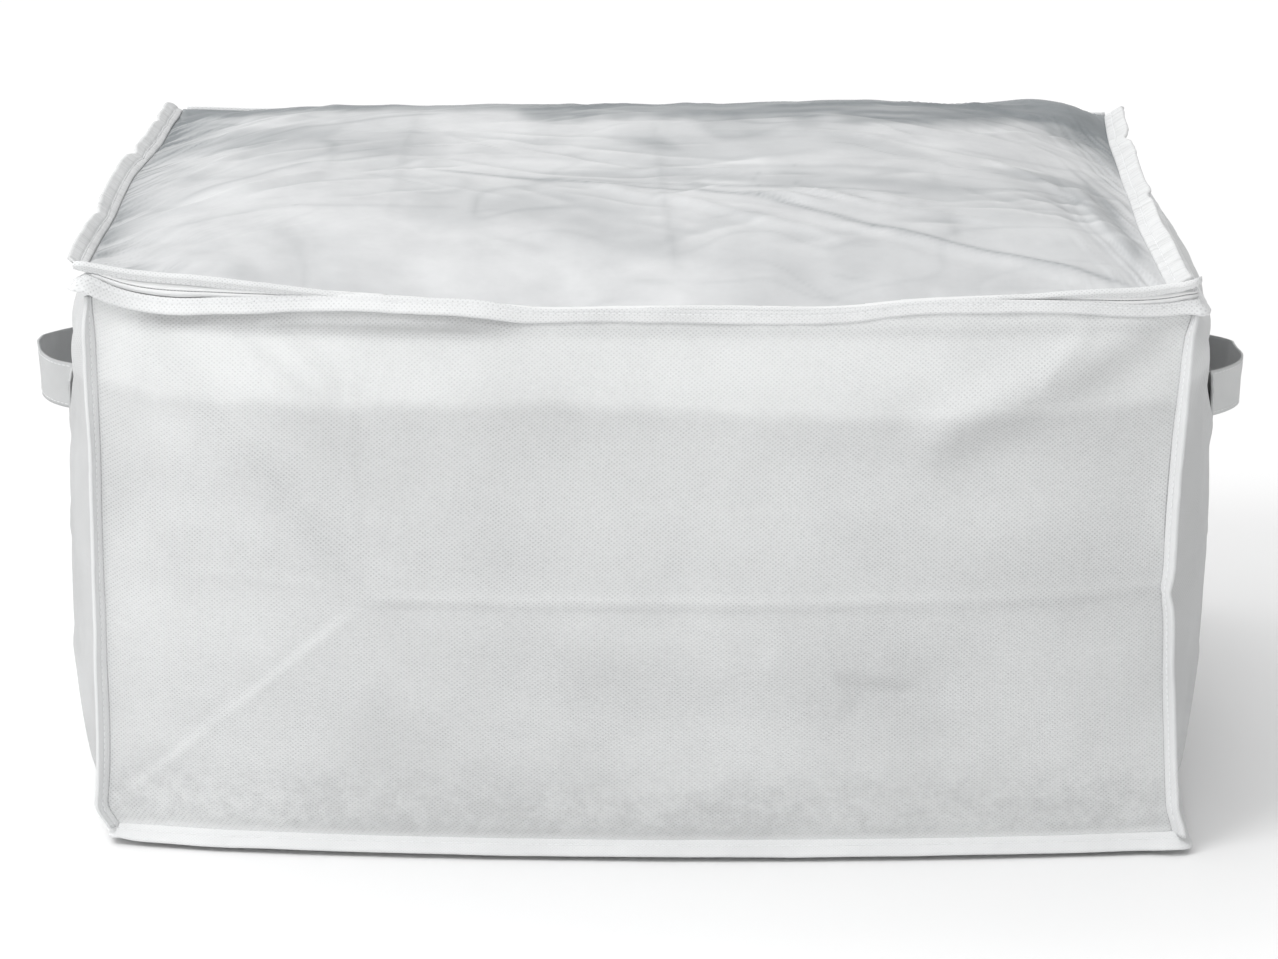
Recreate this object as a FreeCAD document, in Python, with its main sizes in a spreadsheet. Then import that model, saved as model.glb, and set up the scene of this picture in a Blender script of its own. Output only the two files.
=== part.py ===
# Soft storage box for the space under a bed: non-woven fabric walls and floor,
# a clear film lid closed by a coil zip on three sides and hinged on the rear
# seam, and a webbing handle on each side.
#
# Frame: X to the right, Y away from the front, Z up; origin in the middle of
# the base, on the floor.  All sizes in millimetres.
import FreeCAD, Part
import os
import Sketcher

V = FreeCAD.Vector
os.makedirs("parts", exist_ok=True)
doc = FreeCAD.newDocument("under_bed_box")


# ---------------------------------------------------------------- dimensions
class Size:
    """A length with its number and the expression it comes from."""

    def __init__(self, number, text):
        self.number, self.text = float(number), text

    @staticmethod
    def of(value):
        return value if isinstance(value, Size) else Size(value, "(%r)" % float(value))

    def __add__(self, other):
        other = Size.of(other)
        return Size(self.number + other.number, "(%s + %s)" % (self.text, other.text))

    def __sub__(self, other):
        other = Size.of(other)
        return Size(self.number - other.number, "(%s - %s)" % (self.text, other.text))

    def __mul__(self, other):
        other = Size.of(other)
        return Size(self.number * other.number, "(%s * %s)" % (self.text, other.text))

    def __truediv__(self, other):
        other = Size.of(other)
        return Size(self.number / other.number, "(%s / %s)" % (self.text, other.text))

    def __neg__(self):
        return ZERO - self


ZERO = Size.of(0.0)


class Dimensions:
    """The driving dimensions as Size attributes, named like their aliases."""


# alias, value, note
CELLS = [
    ("bag_width", 550.0, "outer width over the side seams"),
    ("bag_depth", 450.0, "outer depth over the front and rear seams"),
    ("lid_seam_z", 300.0, "height of the seam between film and zip"),
    ("rim_seam_z", 291.0, "height of the seam on top of the walls"),
    ("base_seam_z", 7.0, "height of the seam round the floor"),
    ("half_root", 0.70710678, "sine of the 45 degree flange angle"),
    ("cloth_thick", 0.8, "non-woven panel cloth"),
    ("tape_thick", 0.5, "zip tape and binding tape"),
    ("film_thick", 0.4, "lid film"),
    ("layer_gap", 0.05, "air between two sewn layers"),
    ("root_lap", 1.2, "how far a flange reaches into its panel"),
    ("corner_round", 2.0, "inset of the round-cornered seam paths"),
    ("side_room", 0.85, "distance of a panel edge from the bag corner"),
    ("front_bulge", 20.0, "how far the front and back panels belly out"),
    ("side_bulge", 26.0, "how far the side panels belly out"),
    ("film_crown", 30.0, "rise of the film in the middle"),
    ("wall_low_z", 7.9, "lower edge of a wall panel"),
    ("wall_arc_z", 288.0, "top of the bellied part of a wall"),
    ("wall_top_z", 292.1, "top of a wall panel"),
    ("tape_ledge_z", 292.47, "where the lower zip tape passes over the wall"),
    ("rear_top_z", 299.9, "top of the rear panel"),
    ("floor_lip", 20.0, "width of the turned-up floor margin"),
    ("base_flange", 7.6, "width of the seam flange round the floor"),
    ("rim_flange", 11.0, "width of the seam flange on the walls"),
    ("lid_flange", 9.0, "width of the seam flange of the lid"),
    ("corner_flange", 10.0, "width of the upright corner flanges"),
    ("corner_low_z", 10.0, "lower end of the corner bindings"),
    ("corner_top_z", 281.0, "upper end of the corner flanges"),
    ("bind_start", 2.0, "distance of a binding edge from its seam"),
    ("thread_start", 3.5, "distance of the stitch line from the seam"),
    ("thread_wide", 0.6, "width of a stitch line"),
    ("thread_high", 0.2, "height of a stitch line above the binding"),
    ("lower_tape_top", 295.4, "inner edge of the lower zip tape"),
    ("upper_tape_low", 296.4, "inner edge of the upper zip tape"),
    ("lower_coil_low", 293.7, "lower edge of the lower coil"),
    ("lower_coil_top", 295.45, "upper edge of the lower coil"),
    ("upper_coil_low", 296.35, "lower edge of the upper coil"),
    ("upper_coil_top", 298.1, "upper edge of the upper coil"),
    ("coil_depth", 1.5, "thickness of the coil"),
    ("lower_zip_end", 221.0, "rear end of the lower zip half"),
    ("upper_zip_end", 200.0, "rear end of the upper zip half"),
    ("lid_flange_end", 217.0, "rear end of the lid side flanges"),
    ("film_rear", 222.9, "rear edge of the film"),
    ("hem_low_z", 290.0, "lower edge of the rear hem tape"),
    ("hem_half", 273.4, "half length of the rear hem tape"),
    ("slider_y", 209.0, "parked position of the zip slider"),
    ("slider_len", 11.0, "length of the zip slider"),
    ("slider_low_z", 292.95, "lower edge of the slider"),
    ("slider_top_z", 298.85, "upper edge of the slider"),
    ("slider_lip", 0.5, "thickness of the slider side lips"),
    ("neck_thick", 0.5, "thickness of the slider wedge"),
    ("zip_mid_z", 295.9, "middle of the zip"),
    ("pull_reach", 20.0, "length of the pull from its bar"),
    ("pull_thick", 0.9, "thickness of the pull"),
    ("bar_out", 3.27, "distance of the pull bar from the wall plane"),
    ("strap_wide", 25.0, "width of the handle webbing"),
    ("strap_thick", 1.2, "thickness of the handle webbing"),
    ("strap_z", 196.0, "height of the middle of the handles"),
    ("strap_half", 75.0, "half distance between the handle roots"),
    ("strap_root", 23.2, "handle root from the wall plane"),
    ("strap_reach", 56.0, "handle apex from the wall plane"),
    ("strap_tail", 36.0, "sewn length at each handle end"),
    ("front_stub_right", 283.5, "right end of the front lid binding"),
    ("front_stub_left", 281.0, "left end of the front lid binding"),
]
dim = Dimensions()
sheet = doc.addObject("Spreadsheet::Sheet", "dim")
for row, (alias, value, note) in enumerate(CELLS, 1):
    sheet.set("A%d" % row, note)
    sheet.set("B%d" % row, str(value))
    sheet.setAlias("B%d" % row, alias)
    setattr(dim, alias, Size(value, "dim." + alias))
doc.recompute()

ROOT = dim.half_root
HALF_WIDTH = dim.bag_width / 2
HALF_DEPTH = dim.bag_depth / 2
GAP = dim.layer_gap
CLOTH, TAPE, FILM = dim.cloth_thick, dim.tape_thick, dim.film_thick
# half lengths of the straight flanges along X and Y
STRAIGHT_X = HALF_WIDTH - dim.corner_round
STRAIGHT_Y = HALF_DEPTH - dim.corner_round

# indexed by the axis a side faces: 0 is X, 1 is Y
HALF = (HALF_WIDTH, HALF_DEPTH)
STRAIGHT = (STRAIGHT_X, STRAIGHT_Y)
BULGE = (dim.side_bulge, dim.front_bulge)
SECTION_PLANE = ("XZ_Plane", "YZ_Plane")

# side: (axis it faces, sign on that axis)
SIDES = {"front": (1, -1), "back": (1, 1), "left": (0, -1), "right": (0, 1)}
# corner: (sign of X, sign of Y)
CORNERS = {"front_left": (-1, -1), "front_right": (1, -1),
           "rear_left": (-1, 1), "rear_right": (1, 1)}

pieces = []


# --------------------------------------------------------- document helpers
def keep(piece):
    """Marks an object as a piece to export under its label."""
    pieces.append(piece)
    return piece


def new_body(name):
    return doc.addObject("PartDesign::Body", name)


def compound(name, members):
    group = doc.addObject("Part::Compound", name)
    group.Links = members
    keep(group)


def bind(obj, prop, size):
    size = Size.of(size)
    setattr(obj, prop, size.number)
    obj.setExpression(prop, size.text)


def bound_box(name, corner, lengths):
    """Box with its lowest corner and its X, Y and Z lengths held to the sheet."""
    box = doc.addObject("Part::Box", name)
    for prop, size in zip(("Length", "Width", "Height"), lengths):
        bind(box, prop, size)
    box.Placement = FreeCAD.Placement(V(*[size.number for size in corner]),
                                      FreeCAD.Rotation())
    for axis, size in zip("xyz", corner):
        box.setExpression("Placement.Base." + axis, size.text)
    return box


def signed(size, sign):
    return size if sign > 0 else -size


# ----------------------------------------------------------- sketch helpers
def sketch_on(body, name, plane, offset):
    """Sketch on an origin plane; the XZ plane's offset counts towards the front."""
    sketch = body.newObject("Sketcher::SketchObject", name)
    support = next(f for f in body.Origin.OriginFeatures if f.Role == plane)
    sketch.AttachmentSupport = (support, [""])
    sketch.MapMode = "FlatFace"
    sketch.AttachmentOffset = FreeCAD.Placement(V(0, 0, offset.number), FreeCAD.Rotation())
    sketch.setExpression("AttachmentOffset.Base.z", offset.text)
    return sketch


def constrain(sketch, kind, where, size):
    index = sketch.addConstraint(Sketcher.Constraint(kind, *where, size.number))
    sketch.setExpression("Constraints[%d]" % index, size.text)


def arc_right(start, end, bulge):
    """Arc from start to end that bulges to the right of the way."""
    run = end - start
    middle = (start + end) * 0.5 + V(run.y, -run.x, 0) * (bulge / run.Length)
    return Part.Arc(start, middle, end)


def outline(sketch, points, closed=True, arcs=None):
    """Draws a chain of lines and arcs whose corners are held to the sheet.

    arcs: {edge index: (bulge, bow, chord)}; bow is 1 for an arc to the left
    of the edge's direction and -1 for one to its right."""
    arcs = arcs or {}
    points = [(Size.of(x), Size.of(y)) for x, y in points]
    count = len(points)
    edges = count if closed else count - 1
    first = sketch.GeometryCount
    ends = []                             # vertex numbers at each edge's start and end
    for i in range(edges):
        start, end = [V(x.number, y.number, 0)
                      for x, y in (points[i], points[(i + 1) % count])]
        ends.append((1, 2))
        if i not in arcs:
            curve = Part.LineSegment(start, end)
        elif arcs[i][1] < 0:
            curve = arc_right(start, end, arcs[i][0].number)
        else:
            # arcs are kept counter-clockwise, so this one runs backwards
            curve = arc_right(end, start, arcs[i][0].number)
            ends[i] = (2, 1)
        sketch.addGeometry(curve, False)
    for i in range(edges if closed else edges - 1):
        j = (i + 1) % edges
        sketch.addConstraint(Sketcher.Constraint("Coincident", first + i, ends[i][1],
                                                 first + j, ends[j][0]))
    for i, (x, y) in enumerate(points):
        if i < edges:
            vertex = (first + i, ends[i][0])
        else:
            vertex = (first + edges - 1, ends[-1][1])
        constrain(sketch, "DistanceX", (-1, 1) + vertex, x)
        constrain(sketch, "DistanceY", (-1, 1) + vertex, y)
    for i, (bulge, bow, chord) in arcs.items():
        half = chord / 2
        radius = (bulge * bulge + half * half) / (bulge * 2)
        constrain(sketch, "Radius", (first + i,), radius)


def disc(sketch, x, y, radius):
    circle = Part.Circle(V(x.number, y.number, 0), V(0, 0, 1), radius.number)
    index = sketch.addGeometry(circle, False)
    constrain(sketch, "DistanceX", (-1, 1, index, 3), x)
    constrain(sketch, "DistanceY", (-1, 1, index, 3), y)
    constrain(sketch, "Radius", (index,), radius)


def rectangle(x_low, x_high, y_low, y_high):
    return [(x_low, y_low), (x_high, y_low), (x_high, y_high), (x_low, y_high)]


# ---------------------------------------------------------- feature helpers
def pad(body, sketch, length, name):
    feature = body.newObject("PartDesign::Pad", name)
    feature.Profile = sketch
    bind(feature, "Length", length)
    body.Tip = feature


def prism(body, name, plane, offset, length, points):
    """Closed outline on a shifted origin plane, padded by length."""
    sketch = sketch_on(body, name + "_sketch", plane, offset)
    outline(sketch, points)
    pad(body, sketch, length, name)


def loft(body, name, sketches):
    feature = body.newObject("PartDesign::AdditiveLoft", name)
    feature.Profile = sketches[0]
    feature.Sections = [(sketch, [""]) for sketch in sketches[1:]]
    feature.Ruled = False
    body.Tip = feature


def side_points(side, profile):
    """(out, z) pairs of a seam profile as sketch coordinates on one side."""
    axis, sign = SIDES[side]
    return [(signed(HALF[axis] + out, sign), z) for out, z in profile]


def strip(body, side, profile, low, high, name):
    """Straight run of a seam profile along one side, from low to high."""
    axis = SIDES[side][0]
    offset = low if axis == 1 else -high
    prism(body, name, SECTION_PLANE[axis], offset, high - low, side_points(side, profile))


def bellied(body, side, out_low, out_high, name):
    """Wall-sized sheet: straight at both ends, an arc band in the middle."""
    axis, sign = SIDES[side]
    half = HALF[1 - axis] - dim.side_room
    chord = dim.wall_arc_z - dim.wall_low_z
    points = side_points(side, rectangle(out_low, out_high, dim.wall_low_z, dim.wall_arc_z))
    # edge 1 runs up the outer face, edge 3 runs down the inner face
    belly = {1: (BULGE[axis], -sign, chord), 3: (BULGE[axis], sign, chord)}
    sketches = []
    for tag, offset, arcs in (("a", -half, None), ("b", ZERO, belly), ("c", half, None)):
        sketch = sketch_on(body, "%s_%s" % (name, tag), SECTION_PLANE[axis], offset)
        outline(sketch, points, arcs=arcs)
        sketches.append(sketch)
    loft(body, name, sketches)


def rail(body, name, z, rear_end, inset):
    """Seam path on three sides up to rear_end, or all the way round without it."""
    sketch = sketch_on(body, name, "XY_Plane", z)
    x, y = HALF_WIDTH - inset, HALF_DEPTH - inset
    if rear_end is None:
        outline(sketch, [(x, ZERO), (x, -y), (-x, -y), (-x, y), (x, y)])
    else:
        outline(sketch, [(x, rear_end), (x, -y), (-x, -y), (-x, rear_end)], closed=False)
    return sketch


def swept(body, name, z, profile, rear_end=None, corner="Round corner",
          inset=dim.corner_round):
    """Seam profile, drawn on the right side, carried round the bag."""
    path = rail(body, name + "_path", z, rear_end, inset)
    start = ZERO if rear_end is None else -rear_end
    sketch = sketch_on(body, name + "_sketch", "XZ_Plane", start)
    outline(sketch, side_points("right", profile))
    pipe = body.newObject("PartDesign::AdditivePipe", name)
    pipe.Profile = sketch
    pipe.Spine = (path, [])
    pipe.Transition = corner
    body.Tip = pipe


def swept_piece(name, feature, z, profile, rear_end=None):
    body = keep(new_body(name))
    swept(body, feature, z, profile, rear_end)


# ------------------------------------------------------------ flange frames
# A frame turns (along, across) into sketch coordinates: along runs out from
# the seam in the flange, across runs through its layers.
def flange_frame(seam_z, slope):
    """45 degree flange in (out, z); slope is 1 when it rises outwards, else -1."""
    def point(along, across):
        along, across = Size.of(along), Size.of(across)
        return ROOT * (along + across), seam_z + ROOT * (along - across) * slope
    return point


def corner_frame(sign_x, sign_y):
    """Upright flange on a corner's diagonal in (x, y); across points to front or back."""
    def point(along, across):
        return (signed(HALF_WIDTH + ROOT * (along - across), sign_x),
                signed(HALF_DEPTH + ROOT * (along + across), sign_y))
    return point


base_point = flange_frame(dim.base_seam_z, -1)
rim_point = flange_frame(dim.rim_seam_z, -1)
lid_point = flange_frame(dim.lid_seam_z, 1)


def leaf(point, along_low, along_high, across_low, across_high):
    """One flat layer of a flange."""
    return [point(along_low, across_low), point(along_high, across_low),
            point(along_high, across_high), point(along_low, across_high)]


def wrap(point, tip, layers_low, layers_high):
    """U-shaped binding round a flange whose layers lie between the two levels."""
    start = dim.bind_start
    inner_low, inner_high = layers_low - GAP, layers_high + GAP
    outer_low, outer_high = inner_low - TAPE, inner_high + TAPE
    end = tip + GAP
    return [point(start, outer_high), point(end + TAPE, outer_high),
            point(end + TAPE, outer_low), point(start, outer_low),
            point(start, inner_low), point(end, inner_low),
            point(end, inner_high), point(start, inner_high)]


def thread(point, face, sign):
    """Stitch line lying off the face of a binding."""
    return leaf(point, dim.thread_start, dim.thread_start + dim.thread_wide,
                face + GAP * sign, face + (GAP + dim.thread_high) * sign)


LAP = -dim.root_lap
# (low, high) levels of the layers across their flanges
WALL_LAYER = (GAP / 2, GAP / 2 + CLOTH)           # also one panel of a corner flange
FLOOR_LAYER = (-WALL_LAYER[1], -WALL_LAYER[0])    # also the other panel of a corner
RIM_TAPE_LAYER = (CLOTH + GAP, CLOTH + GAP + TAPE)
LID_TAPE_LAYER = (GAP / 2, GAP / 2 + TAPE)
LID_FILM_LAYER = (-GAP / 2 - FILM, -GAP / 2)
# outer faces of the bindings that carry stitching
BASE_BIND_FACE = WALL_LAYER[1] + GAP + TAPE       # also at the corners, on both faces
RIM_BIND_FACE = RIM_TAPE_LAYER[1] + GAP + TAPE
LID_BIND_FACE = LID_FILM_LAYER[0] - GAP - TAPE


# --------------------------------------------------------------- wall panels
WALL_OVERLAP = 0.5            # top strip into the bellied part
CORNER_FLANGE_DROP = 1        # corner flange below its binding


def wall_panel(side):
    name = side + "_panel"
    body = keep(new_body(name))
    axis, sign = SIDES[side]
    faces_y = axis == 1
    half = HALF[1 - axis] - dim.side_room
    reach = STRAIGHT[1 - axis]

    bellied(body, side, -CLOTH, ZERO, name + "_cloth")
    top = dim.rear_top_z if side == "back" else dim.wall_top_z
    strip(body, side, rectangle(-CLOTH, ZERO, dim.wall_arc_z - WALL_OVERLAP, top),
          -half, half, name + "_top")
    strip(body, side, leaf(base_point, LAP, dim.base_flange, *WALL_LAYER),
          -reach, reach, name + "_base_flange")
    if side != "back":
        strip(body, side, leaf(rim_point, LAP, dim.rim_flange, ZERO, CLOTH),
              -reach, reach if faces_y else dim.lower_zip_end, name + "_rim_flange")

    layer = WALL_LAYER if faces_y else FLOOR_LAYER
    low = dim.corner_low_z - CORNER_FLANGE_DROP
    own_corners = [signs for signs in CORNERS.values() if signs[axis] == sign]
    for i, signs in enumerate(own_corners):
        prism(body, "%s_corner_%d" % (name, i), "XY_Plane", low, dim.corner_top_z - low,
              leaf(corner_frame(*signs), LAP, dim.corner_flange, *layer))


for side in SIDES:
    wall_panel(side)


# --------------------------------------------------------------- floor panel
def bottom_panel():
    lip = dim.floor_lip
    flat_inset = lip + 1.5            # edge of the flat sheet from the bag's edge
    margin_inner = -lip - 3           # the margin overlaps the flat sheet
    top_bend = -lip - 0.2             # where the margin's upper face turns up
    flange_lap = -0.8                 # root of the flange inside the margin
    body = keep(new_body("bottom_panel"))
    x, y = HALF_WIDTH - flat_inset, HALF_DEPTH - flat_inset
    prism(body, "floor_flat", "XY_Plane", ZERO, CLOTH, rectangle(-x, x, -y, y))
    swept(body, "floor_margin", dim.base_seam_z,
          [(margin_inner, ZERO), (-lip, ZERO), base_point(0, FLOOR_LAYER[0]),
           base_point(-0.3, FLOOR_LAYER[1]), base_point(-0.6, FLOOR_LAYER[1]),
           (top_bend, CLOTH), (margin_inner, CLOTH)],
          corner="Right corner", inset=ZERO)
    swept(body, "floor_flange", dim.base_seam_z,
          leaf(base_point, flange_lap, dim.base_flange, *FLOOR_LAYER))


bottom_panel()

# ------------------------------------------- bindings and stitching of the bag
swept_piece("bottom_binding", "bottom_binding_tape", dim.base_seam_z,
            wrap(base_point, dim.base_flange, FLOOR_LAYER[0], WALL_LAYER[1]))
swept_piece("rim_binding", "rim_binding_tape", dim.rim_seam_z,
            wrap(rim_point, dim.rim_flange, ZERO, RIM_TAPE_LAYER[1]), dim.lower_zip_end)
swept_piece("bottom_stitching", "bottom_thread", dim.base_seam_z,
            thread(base_point, BASE_BIND_FACE, 1))
swept_piece("rim_stitching", "rim_thread", dim.rim_seam_z,
            thread(rim_point, RIM_BIND_FACE, 1), dim.lower_zip_end)


def corner_binding(tag, signs):
    name = "corner_binding_" + tag
    body = keep(new_body(name))
    sketch = sketch_on(body, name + "_sketch", "XY_Plane", dim.corner_low_z)
    outline(sketch, wrap(corner_frame(*signs), dim.corner_flange,
                         FLOOR_LAYER[0], WALL_LAYER[1]))
    pad(body, sketch, dim.corner_top_z - dim.corner_low_z, name + "_tape")


def corner_stitching():
    """A stitch line on both faces of each corner binding."""
    end_room = 2                      # stitch end from the binding's end
    low = dim.corner_low_z + end_room
    height = dim.corner_top_z - end_room - low
    bodies = []
    for tag, signs in CORNERS.items():
        for face, sign in (("a", 1), ("b", -1)):
            body = new_body("corner_thread_%s_%s" % (tag, face))
            prism(body, body.Name + "_line", "XY_Plane", low, height,
                  thread(corner_frame(*signs), BASE_BIND_FACE * sign, sign))
            bodies.append(body)
    compound("corner_stitching", bodies)


for tag, signs in CORNERS.items():
    corner_binding(tag, signs)
corner_stitching()


# ----------------------------------------------------------------------- zip
def lower_zip_tape():
    """Upright tape that turns out over the wall and down the rim flange."""
    inner, outer = RIM_TAPE_LAYER
    ledge = dim.tape_ledge_z
    swept_piece("zip_tape_lower", "lower_tape_weave", dim.rim_seam_z,
                [(-TAPE, ledge), (-TAPE, dim.lower_tape_top), (ZERO, dim.lower_tape_top),
                 (ZERO, dim.rim_seam_z + ROOT * outer * 2),
                 rim_point(dim.rim_flange, outer), rim_point(dim.rim_flange, inner),
                 (dim.rim_seam_z + ROOT * inner * 2 - ledge, ledge)],
                dim.lower_zip_end)


def coil(name, low, high, rear_end):
    """Coil as one bar with its two outer edges cut off."""
    cut = 0.35
    near, far = GAP, GAP + dim.coil_depth
    swept_piece(name, name + "_chain", dim.rim_seam_z,
                [(near, low), (far - cut, low), (far, low + cut), (far, high - cut),
                 (far - cut, high), (near, high)], rear_end)


def zip_end_tacks():
    """Small upright bars outside the lower coil near its rear ends."""
    thick, wide = 0.35, 1.6
    near = HALF_WIDTH + GAP * 2 + dim.coil_depth
    y = dim.lower_zip_end - 3.2
    height = dim.lower_coil_top - dim.lower_coil_low
    compound("zip_end_tacks", [
        bound_box("zip_tack_" + tag, (x, y, dim.lower_coil_low), (thick, wide, height))
        for tag, x in (("left", -(near + thick)), ("right", near))])


def lid_runs(rear_end):
    """Side, low end and high end of the three lid flanges."""
    return (("front", -STRAIGHT_X, STRAIGHT_X),
            ("left", -STRAIGHT_Y, rear_end),
            ("right", -STRAIGHT_Y, rear_end))


def upper_zip_tape():
    """Upright tape that turns out and up into the lid flange."""
    body = keep(new_body("zip_tape_upper"))
    seam_z = dim.lid_seam_z
    weave_top = seam_z - 0.8
    turn_low = seam_z - 1.2           # the turned part overlaps the upright one
    inner, outer = LID_TAPE_LAYER
    swept(body, "upper_tape_weave", seam_z,
          rectangle(-TAPE, ZERO, dim.upper_tape_low, weave_top), dim.upper_zip_end)
    turn = [(-TAPE, turn_low), (ZERO, turn_low), (ZERO, seam_z - ROOT * outer * 2),
            lid_point(dim.lid_flange, outer), lid_point(dim.lid_flange, inner),
            (-TAPE, seam_z - TAPE - ROOT * inner * 2)]
    for side, low, high in lid_runs(dim.upper_zip_end):
        strip(body, side, turn, low, high, "upper_tape_" + side)


lower_zip_tape()
coil("zip_coil_lower", dim.lower_coil_low, dim.lower_coil_top, dim.lower_zip_end)
coil("zip_coil_upper", dim.upper_coil_low, dim.upper_coil_top, dim.upper_zip_end)
zip_end_tacks()
upper_zip_tape()


# ----------------------------------------------------------------------- lid
def lid_film():
    """Film crowned in the middle, with a flange on three sides."""
    edge_room = 0.1                   # film edge from the bag's edge
    flange_lap = -0.3                 # root of the flange inside the film
    body = keep(new_body("lid_film"))
    edge = HALF_WIDTH - edge_room
    points = rectangle(-edge, edge, dim.lid_seam_z, dim.lid_seam_z + FILM)
    # edge 0 is the lower face, edge 2 the upper face
    crown = {0: (dim.film_crown, 1, edge * 2), 2: (dim.film_crown, -1, edge * 2)}
    sketches = []
    for tag, offset, arcs in (("a", HALF_DEPTH - edge_room, None), ("b", ZERO, crown),
                              ("c", -dim.film_rear, None)):
        sketch = sketch_on(body, "lid_film_" + tag, "XZ_Plane", offset)
        outline(sketch, points, arcs=arcs)
        sketches.append(sketch)
    loft(body, "lid_film_sheet", sketches)
    lip = leaf(lid_point, flange_lap, dim.lid_flange, *LID_FILM_LAYER)
    for side, low, high in lid_runs(dim.lid_flange_end):
        strip(body, side, lip, low, high, "lid_film_" + side)


def lid_bindings():
    profile = wrap(lid_point, dim.lid_flange, LID_FILM_LAYER[0], LID_TAPE_LAYER[1])
    front_end = -(HALF_DEPTH + 0.4)   # front end of the side bindings
    for side, low, high in (("front", -dim.front_stub_left, dim.front_stub_right),
                            ("left", front_end, dim.lid_flange_end),
                            ("right", front_end, dim.lid_flange_end)):
        name = "lid_binding_" + side
        strip(keep(new_body(name)), side, profile, low, high, name + "_tape")


def lid_stitching():
    bodies = []
    for side, low, high in lid_runs(dim.lid_flange_end - 1):
        body = new_body("lid_thread_" + side)
        strip(body, side, thread(lid_point, LID_BIND_FACE, -1), low, high,
              body.Name + "_line")
        bodies.append(body)
    compound("lid_stitching", bodies)


lid_film()
lid_bindings()
lid_stitching()


# ------------------------------------------------------------------ rear hem
HEM_INNER, HEM_OUTER = -CLOTH - GAP, GAP      # inner faces of the hem tape


def rear_binding():
    """Tape folded over the top edge of the rear panel."""
    low = dim.hem_low_z
    top = dim.rear_top_z + GAP
    profile = [(HEM_INNER - TAPE, low), (HEM_INNER, low), (HEM_INNER, top),
               (HEM_OUTER, top), (HEM_OUTER, low), (HEM_OUTER + TAPE, low),
               (HEM_OUTER + TAPE, top + TAPE), (HEM_INNER - TAPE, top + TAPE)]
    strip(keep(new_body("rear_binding")), "back", profile,
          -dim.hem_half, dim.hem_half, "rear_binding_tape")


def rear_stitching():
    low = dim.hem_low_z + 3           # stitch line above the tape's lower edge
    half = dim.hem_half - 1
    high = dim.thread_high
    bodies = []
    for face, out in (("outside", HEM_OUTER + TAPE + GAP),
                      ("inside", HEM_INNER - TAPE - GAP - high)):
        body = new_body("rear_thread_" + face)
        strip(body, "back", rectangle(out, out + high, low, low + dim.thread_wide),
              -half, half, body.Name + "_line")
        bodies.append(body)
    compound("rear_stitching", bodies)


rear_binding()
rear_stitching()


# ---------------------------------------------------------- zip slider and pull
def zip_slider():
    """Slider parked on the right side; outlines in (y, z), depths out from the wall."""
    body = keep(new_body("zip_slider"))
    middle_y, middle_z = dim.slider_y, dim.zip_mid_z
    low, top = dim.slider_low_z, dim.slider_top_z
    front = middle_y - dim.slider_len / 2
    rear = middle_y + dim.slider_len / 2
    heel = front + 1.0                # front end of the blade's straight edges
    shoulder = rear - 3.5             # rear end of the blade's straight edges
    front_cut, rear_cut = 0.8, 1.1    # heights of the cut blade corners
    blade_thick = 0.8
    blade_out = GAP + dim.coil_depth + 0.25
    blade_lap = blade_out + 0.4       # depth inside the outer blade where parts join it

    def plate(name, points, out_low, out_high):
        prism(body, name, "YZ_Plane", HALF_WIDTH + out_low,
              Size.of(out_high) - out_low, points)

    plate("slider_outer_blade",
          [(heel, low), (shoulder, low), (rear, low + rear_cut), (rear, top - rear_cut),
           (shoulder, top), (heel, top), (front, top - front_cut), (front, low + front_cut)],
          blade_out, blade_out + blade_thick)
    for tag, z_low, z_high in (("low", low, low + dim.slider_lip),
                               ("top", top - dim.slider_lip, top)):
        plate("slider_lip_" + tag, rectangle(heel, shoulder, z_low, z_high),
              0.25, blade_lap)
    neck = dim.neck_thick / 2
    plate("slider_wedge",
          rectangle(front + 0.4, front + 3.4, middle_z - neck, middle_z + neck),
          -TAPE - 0.9, blade_lap)
    # half heights of the inner blade at its front, shoulder and rear
    at_front, at_shoulder, at_rear = 2.0, 2.3, 1.6
    plate("slider_inner_blade",
          [(front, middle_z - at_front), (shoulder, middle_z - at_shoulder),
           (rear, middle_z - at_rear), (rear, middle_z + at_rear),
           (shoulder, middle_z + at_shoulder), (front, middle_z + at_front)],
          -TAPE - 1.0, -TAPE - 0.25)

    # arch that holds the bar of the pull
    arch_high = 1.6
    outer_half, inner_half = 3.9, 3.0
    face = HALF_WIDTH + blade_out + blade_thick
    foot, arch_outer, arch_inner = face - 0.3, face + 2.1, face + 1.38
    prism(body, "slider_arch", "XY_Plane", middle_z - arch_high / 2, arch_high,
          [(foot, middle_y - outer_half), (arch_outer, middle_y - outer_half),
           (arch_outer, middle_y + outer_half), (foot, middle_y + outer_half),
           (foot, middle_y + inner_half), (arch_inner, middle_y + inner_half),
           (arch_inner, middle_y - inner_half), (foot, middle_y - inner_half)])


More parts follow.
